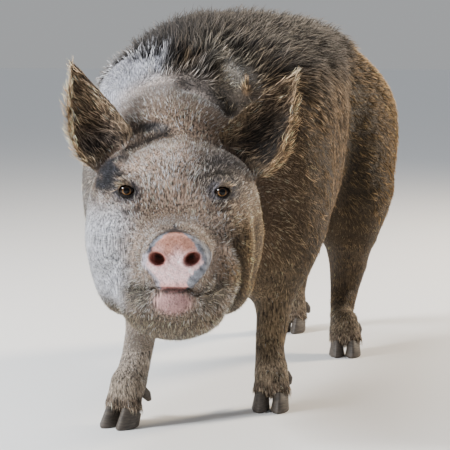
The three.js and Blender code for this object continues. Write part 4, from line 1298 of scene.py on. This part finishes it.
# ------------------------------------------------------------------ materials
EYE_STOPS = [  # from the back of the ball over the iris to the pupil
    (0, colour("3a2a22")), (0.6, colour("140d0a")), (0.68, colour("2a1c12")), (0.76, colour("6b4e2f")),
    (0.81, colour("745536")), (0.85, colour("2c1d12")), (0.87, colour("050404")),
]
HORN_STOPS = [(0.3, colour("2e2823")), (0.75, colour("5e554c"))]


def toned(tree, where, scale, low, high):
    """The tone attribute, darkened and lightened by noise of this scale."""
    spread = map_range(tree, noise(tree, where, scale, 4.0, 0.6), (0.3, 0.7), (low, high))
    return scaled(tree, attribute(tree, "tone", "Color"), spread)


def skin_material():
    """Hide with the grain of short fur, finely streaked, and pores on its bare parts."""
    paint, tree, where, shader = new_material("hide")
    look = toned(tree, where, 330.0, 0.72, 1.2)
    streaks = noise(tree, attribute(tree, "grain", "Vector"), 400.0, 3.0, 0.65)
    contrast = map_range(tree, streaks, (0.36, 0.66), (0.12, 2.1))
    parts = {"Factor": attribute(tree, "bare", "Fac"), "A": contrast, "B": 1.0}
    fur = add_node(tree, "Mix", parts, "Result", data_type="FLOAT")
    pores = add_node(tree, "TexVoronoi", {"Vector": where, "Scale": 430.0}, "Distance")
    normal = bump(tree, pores, 0.8, 0.0013)
    normal = bump(tree, noise(tree, where, 170.0, 6.0, 0.65), 0.5, 0.0016, normal)
    normal = bump(tree, fur, 0.7, 0.0012, normal)
    fill(shader, {"Base Color": scaled(tree, look, fur), "Normal": normal})
    fill(shader, {"Roughness": 0.6, "Specular IOR Level": 0.2})
    return paint


def coat_material():
    """Dull hair in the tufts' own tones."""
    paint, tree, where, shader = new_material("bristles")
    look = toned(tree, where, 420.0, 0.85, 1.15)
    fill(shader, {"Base Color": look, "Roughness": 0.55, "Specular IOR Level": 0.2})
    return paint


def eye_material(centre):
    """Amber iris round a dark pupil, told by how far forward a place on the ball is."""
    paint, tree, where, shader = new_material("eye")
    middle = to_row(from_head(centre[None]))[0]
    ahead = unit(head_way(np.array([[0, -1.0, 0.02]])))[0]
    gap = add_node(tree, "VectorMath", {0: where, 1: middle}, "Vector", operation="SUBTRACT")
    front = add_node(tree, "VectorMath", {0: gap, 1: ahead}, "Value", operation="DOT_PRODUCT")
    uneven = {0: noise(tree, where, 900.0, 3.0), 1: 0.0006, 2: front}
    shift = add_node(tree, "Math", uneven, "Value", operation="MULTIPLY_ADD")
    iris = ramp(tree, map_range(tree, shift, (0.004, 0.0128)), EYE_STOPS)
    # the upper lid keeps the top of the iris in its shade
    up = add_node(tree, "VectorMath", {0: gap, 1: (0, 0, 1)}, "Value", operation="DOT_PRODUCT")
    look = scaled(tree, iris, map_range(tree, up, (-0.003, 0.004), (1.3, 0.12)))
    fill(shader, {"Base Color": look, "Roughness": 0.06, "Specular IOR Level": 0.2})
    return paint


def horn_material():
    """Grey-brown horn, grained in rings."""
    paint, tree, where, shader = new_material("horn")
    squash = add_node(tree, "Mapping", {"Vector": where, "Scale": (1, 1, 6)}, "Vector")
    grain = noise(tree, squash, 90.0, 5.0)
    look = ramp(tree, grain, HORN_STOPS)
    fill(shader, {"Base Color": look, "Roughness": 0.6, "Normal": bump(tree, grain, 0.5, 0.001)})
    return paint


# ------------------------------------------------------------------ putting it together
UNWRAP = {"angle": math.radians(66), "margin": 0.004}


def unwrap(made):
    """The skin's own unwrap, on which the coat's tufts also find their places."""
    made.data.uv_layers.new(name="OFBake")
    bpy.context.view_layer.objects.active = made
    made.select_set(True)
    bpy.ops.object.mode_set(mode="EDIT")
    bpy.ops.mesh.select_all(action="SELECT")
    bpy.ops.uv.smart_project(angle_limit=UNWRAP["angle"], island_margin=UNWRAP["margin"])
    bpy.ops.object.mode_set(mode="OBJECT")
    made.select_set(False)


FLESH = ("head", "neck", "trunk", "snout", "lower_jaw", "left_ear", "right_ear", "tail",
         "left_foreleg", "right_foreleg", "left_hindleg", "right_hindleg")

# the coat's pieces: each takes the triangles that its test picks and no earlier one has
PIECES = [
    ("coat_right_ear", lambda s: (s.ear > 0.4) & (s.a < 0)),
    ("coat_left_ear", lambda s: (s.ear > 0.4) & (s.a > 0)),
    ("coat_right_face", lambda s: (s.head > 0.5) & (s.a < 0)),
    ("coat_left_face", lambda s: (s.head > 0.5) & (s.a >= 0)),
    ("coat_neck", lambda s: (s.y < -290) & (s.z > 200)),
    ("coat_forelegs", lambda s: (s.z < 230) & (s.y < 0)),
    ("coat_hindlegs", lambda s: (s.z < 230)),
    ("coat_rump", lambda s: s.y > 330),
    ("coat_back_front", lambda s: (s.z > 500) & (s.y < 0)),
    ("coat_back_rear", lambda s: s.z > 500),
    ("coat_right_flank", lambda s: s.x < -20),
    ("coat_left_flank", lambda s: s.x > -FAR),
]


def build_hide():
    """The skin's piece, and its triangles for planting the coat."""
    made = build_skin()
    unwrap(made)
    skin = Skin(made)
    mesh = made.data
    paint_points(made, skin_colours(skin.place, skin.rows))
    store(mesh.attributes.new("grain", "FLOAT_VECTOR", "POINT").data, "vector", grain_of(skin.place))
    store(mesh.attributes.new("bare", "FLOAT", "POINT").data, "value", falling(skin.rows[:, 0], 1, 14))
    mesh.materials.clear()
    mesh.materials.append(skin_material())
    mesh.polygons.foreach_set("material_index", np.zeros(len(mesh.polygons), np.int32))
    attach(made, "root")
    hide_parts(*FLESH)
    return skin


def build_coat(skin):
    """The coat's pieces, each on its own part of the skin."""
    rng = np.random.default_rng(SEED)
    paint = coat_material()
    middles = Place(skin.points[skin.faces].mean(1), unit(skin.normals[skin.faces].mean(1)))
    free = np.ones(len(skin.faces), bool)
    for name, picks in PIECES:
        mine = free & picks(middles)
        free &= ~mine
        face, weights = thinned(skin, *skin.planted(rng, mine))
        made = build_tufts(name, skin, rng, face, weights, paint)
        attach(made, "root")


def build_eyes():
    for node, centre in zip(("left_eye", "right_eye"), eye_centres()):
        eye = build_eye(node, centre)
        eye.data.materials.append(eye_material(centre))
        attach(eye, "root")
        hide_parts(node)


def build_claws():
    horn = horn_material()
    for node in sorted(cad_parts):
        if "claw" in node:
            claw = build_claw(node)
            claw.data.materials.clear()
            claw.data.materials.append(horn)
            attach(claw, "root")
            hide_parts(node)


build_coat(build_hide())
build_eyes()
build_claws()
build_stage()
build_lights()
build_camera()
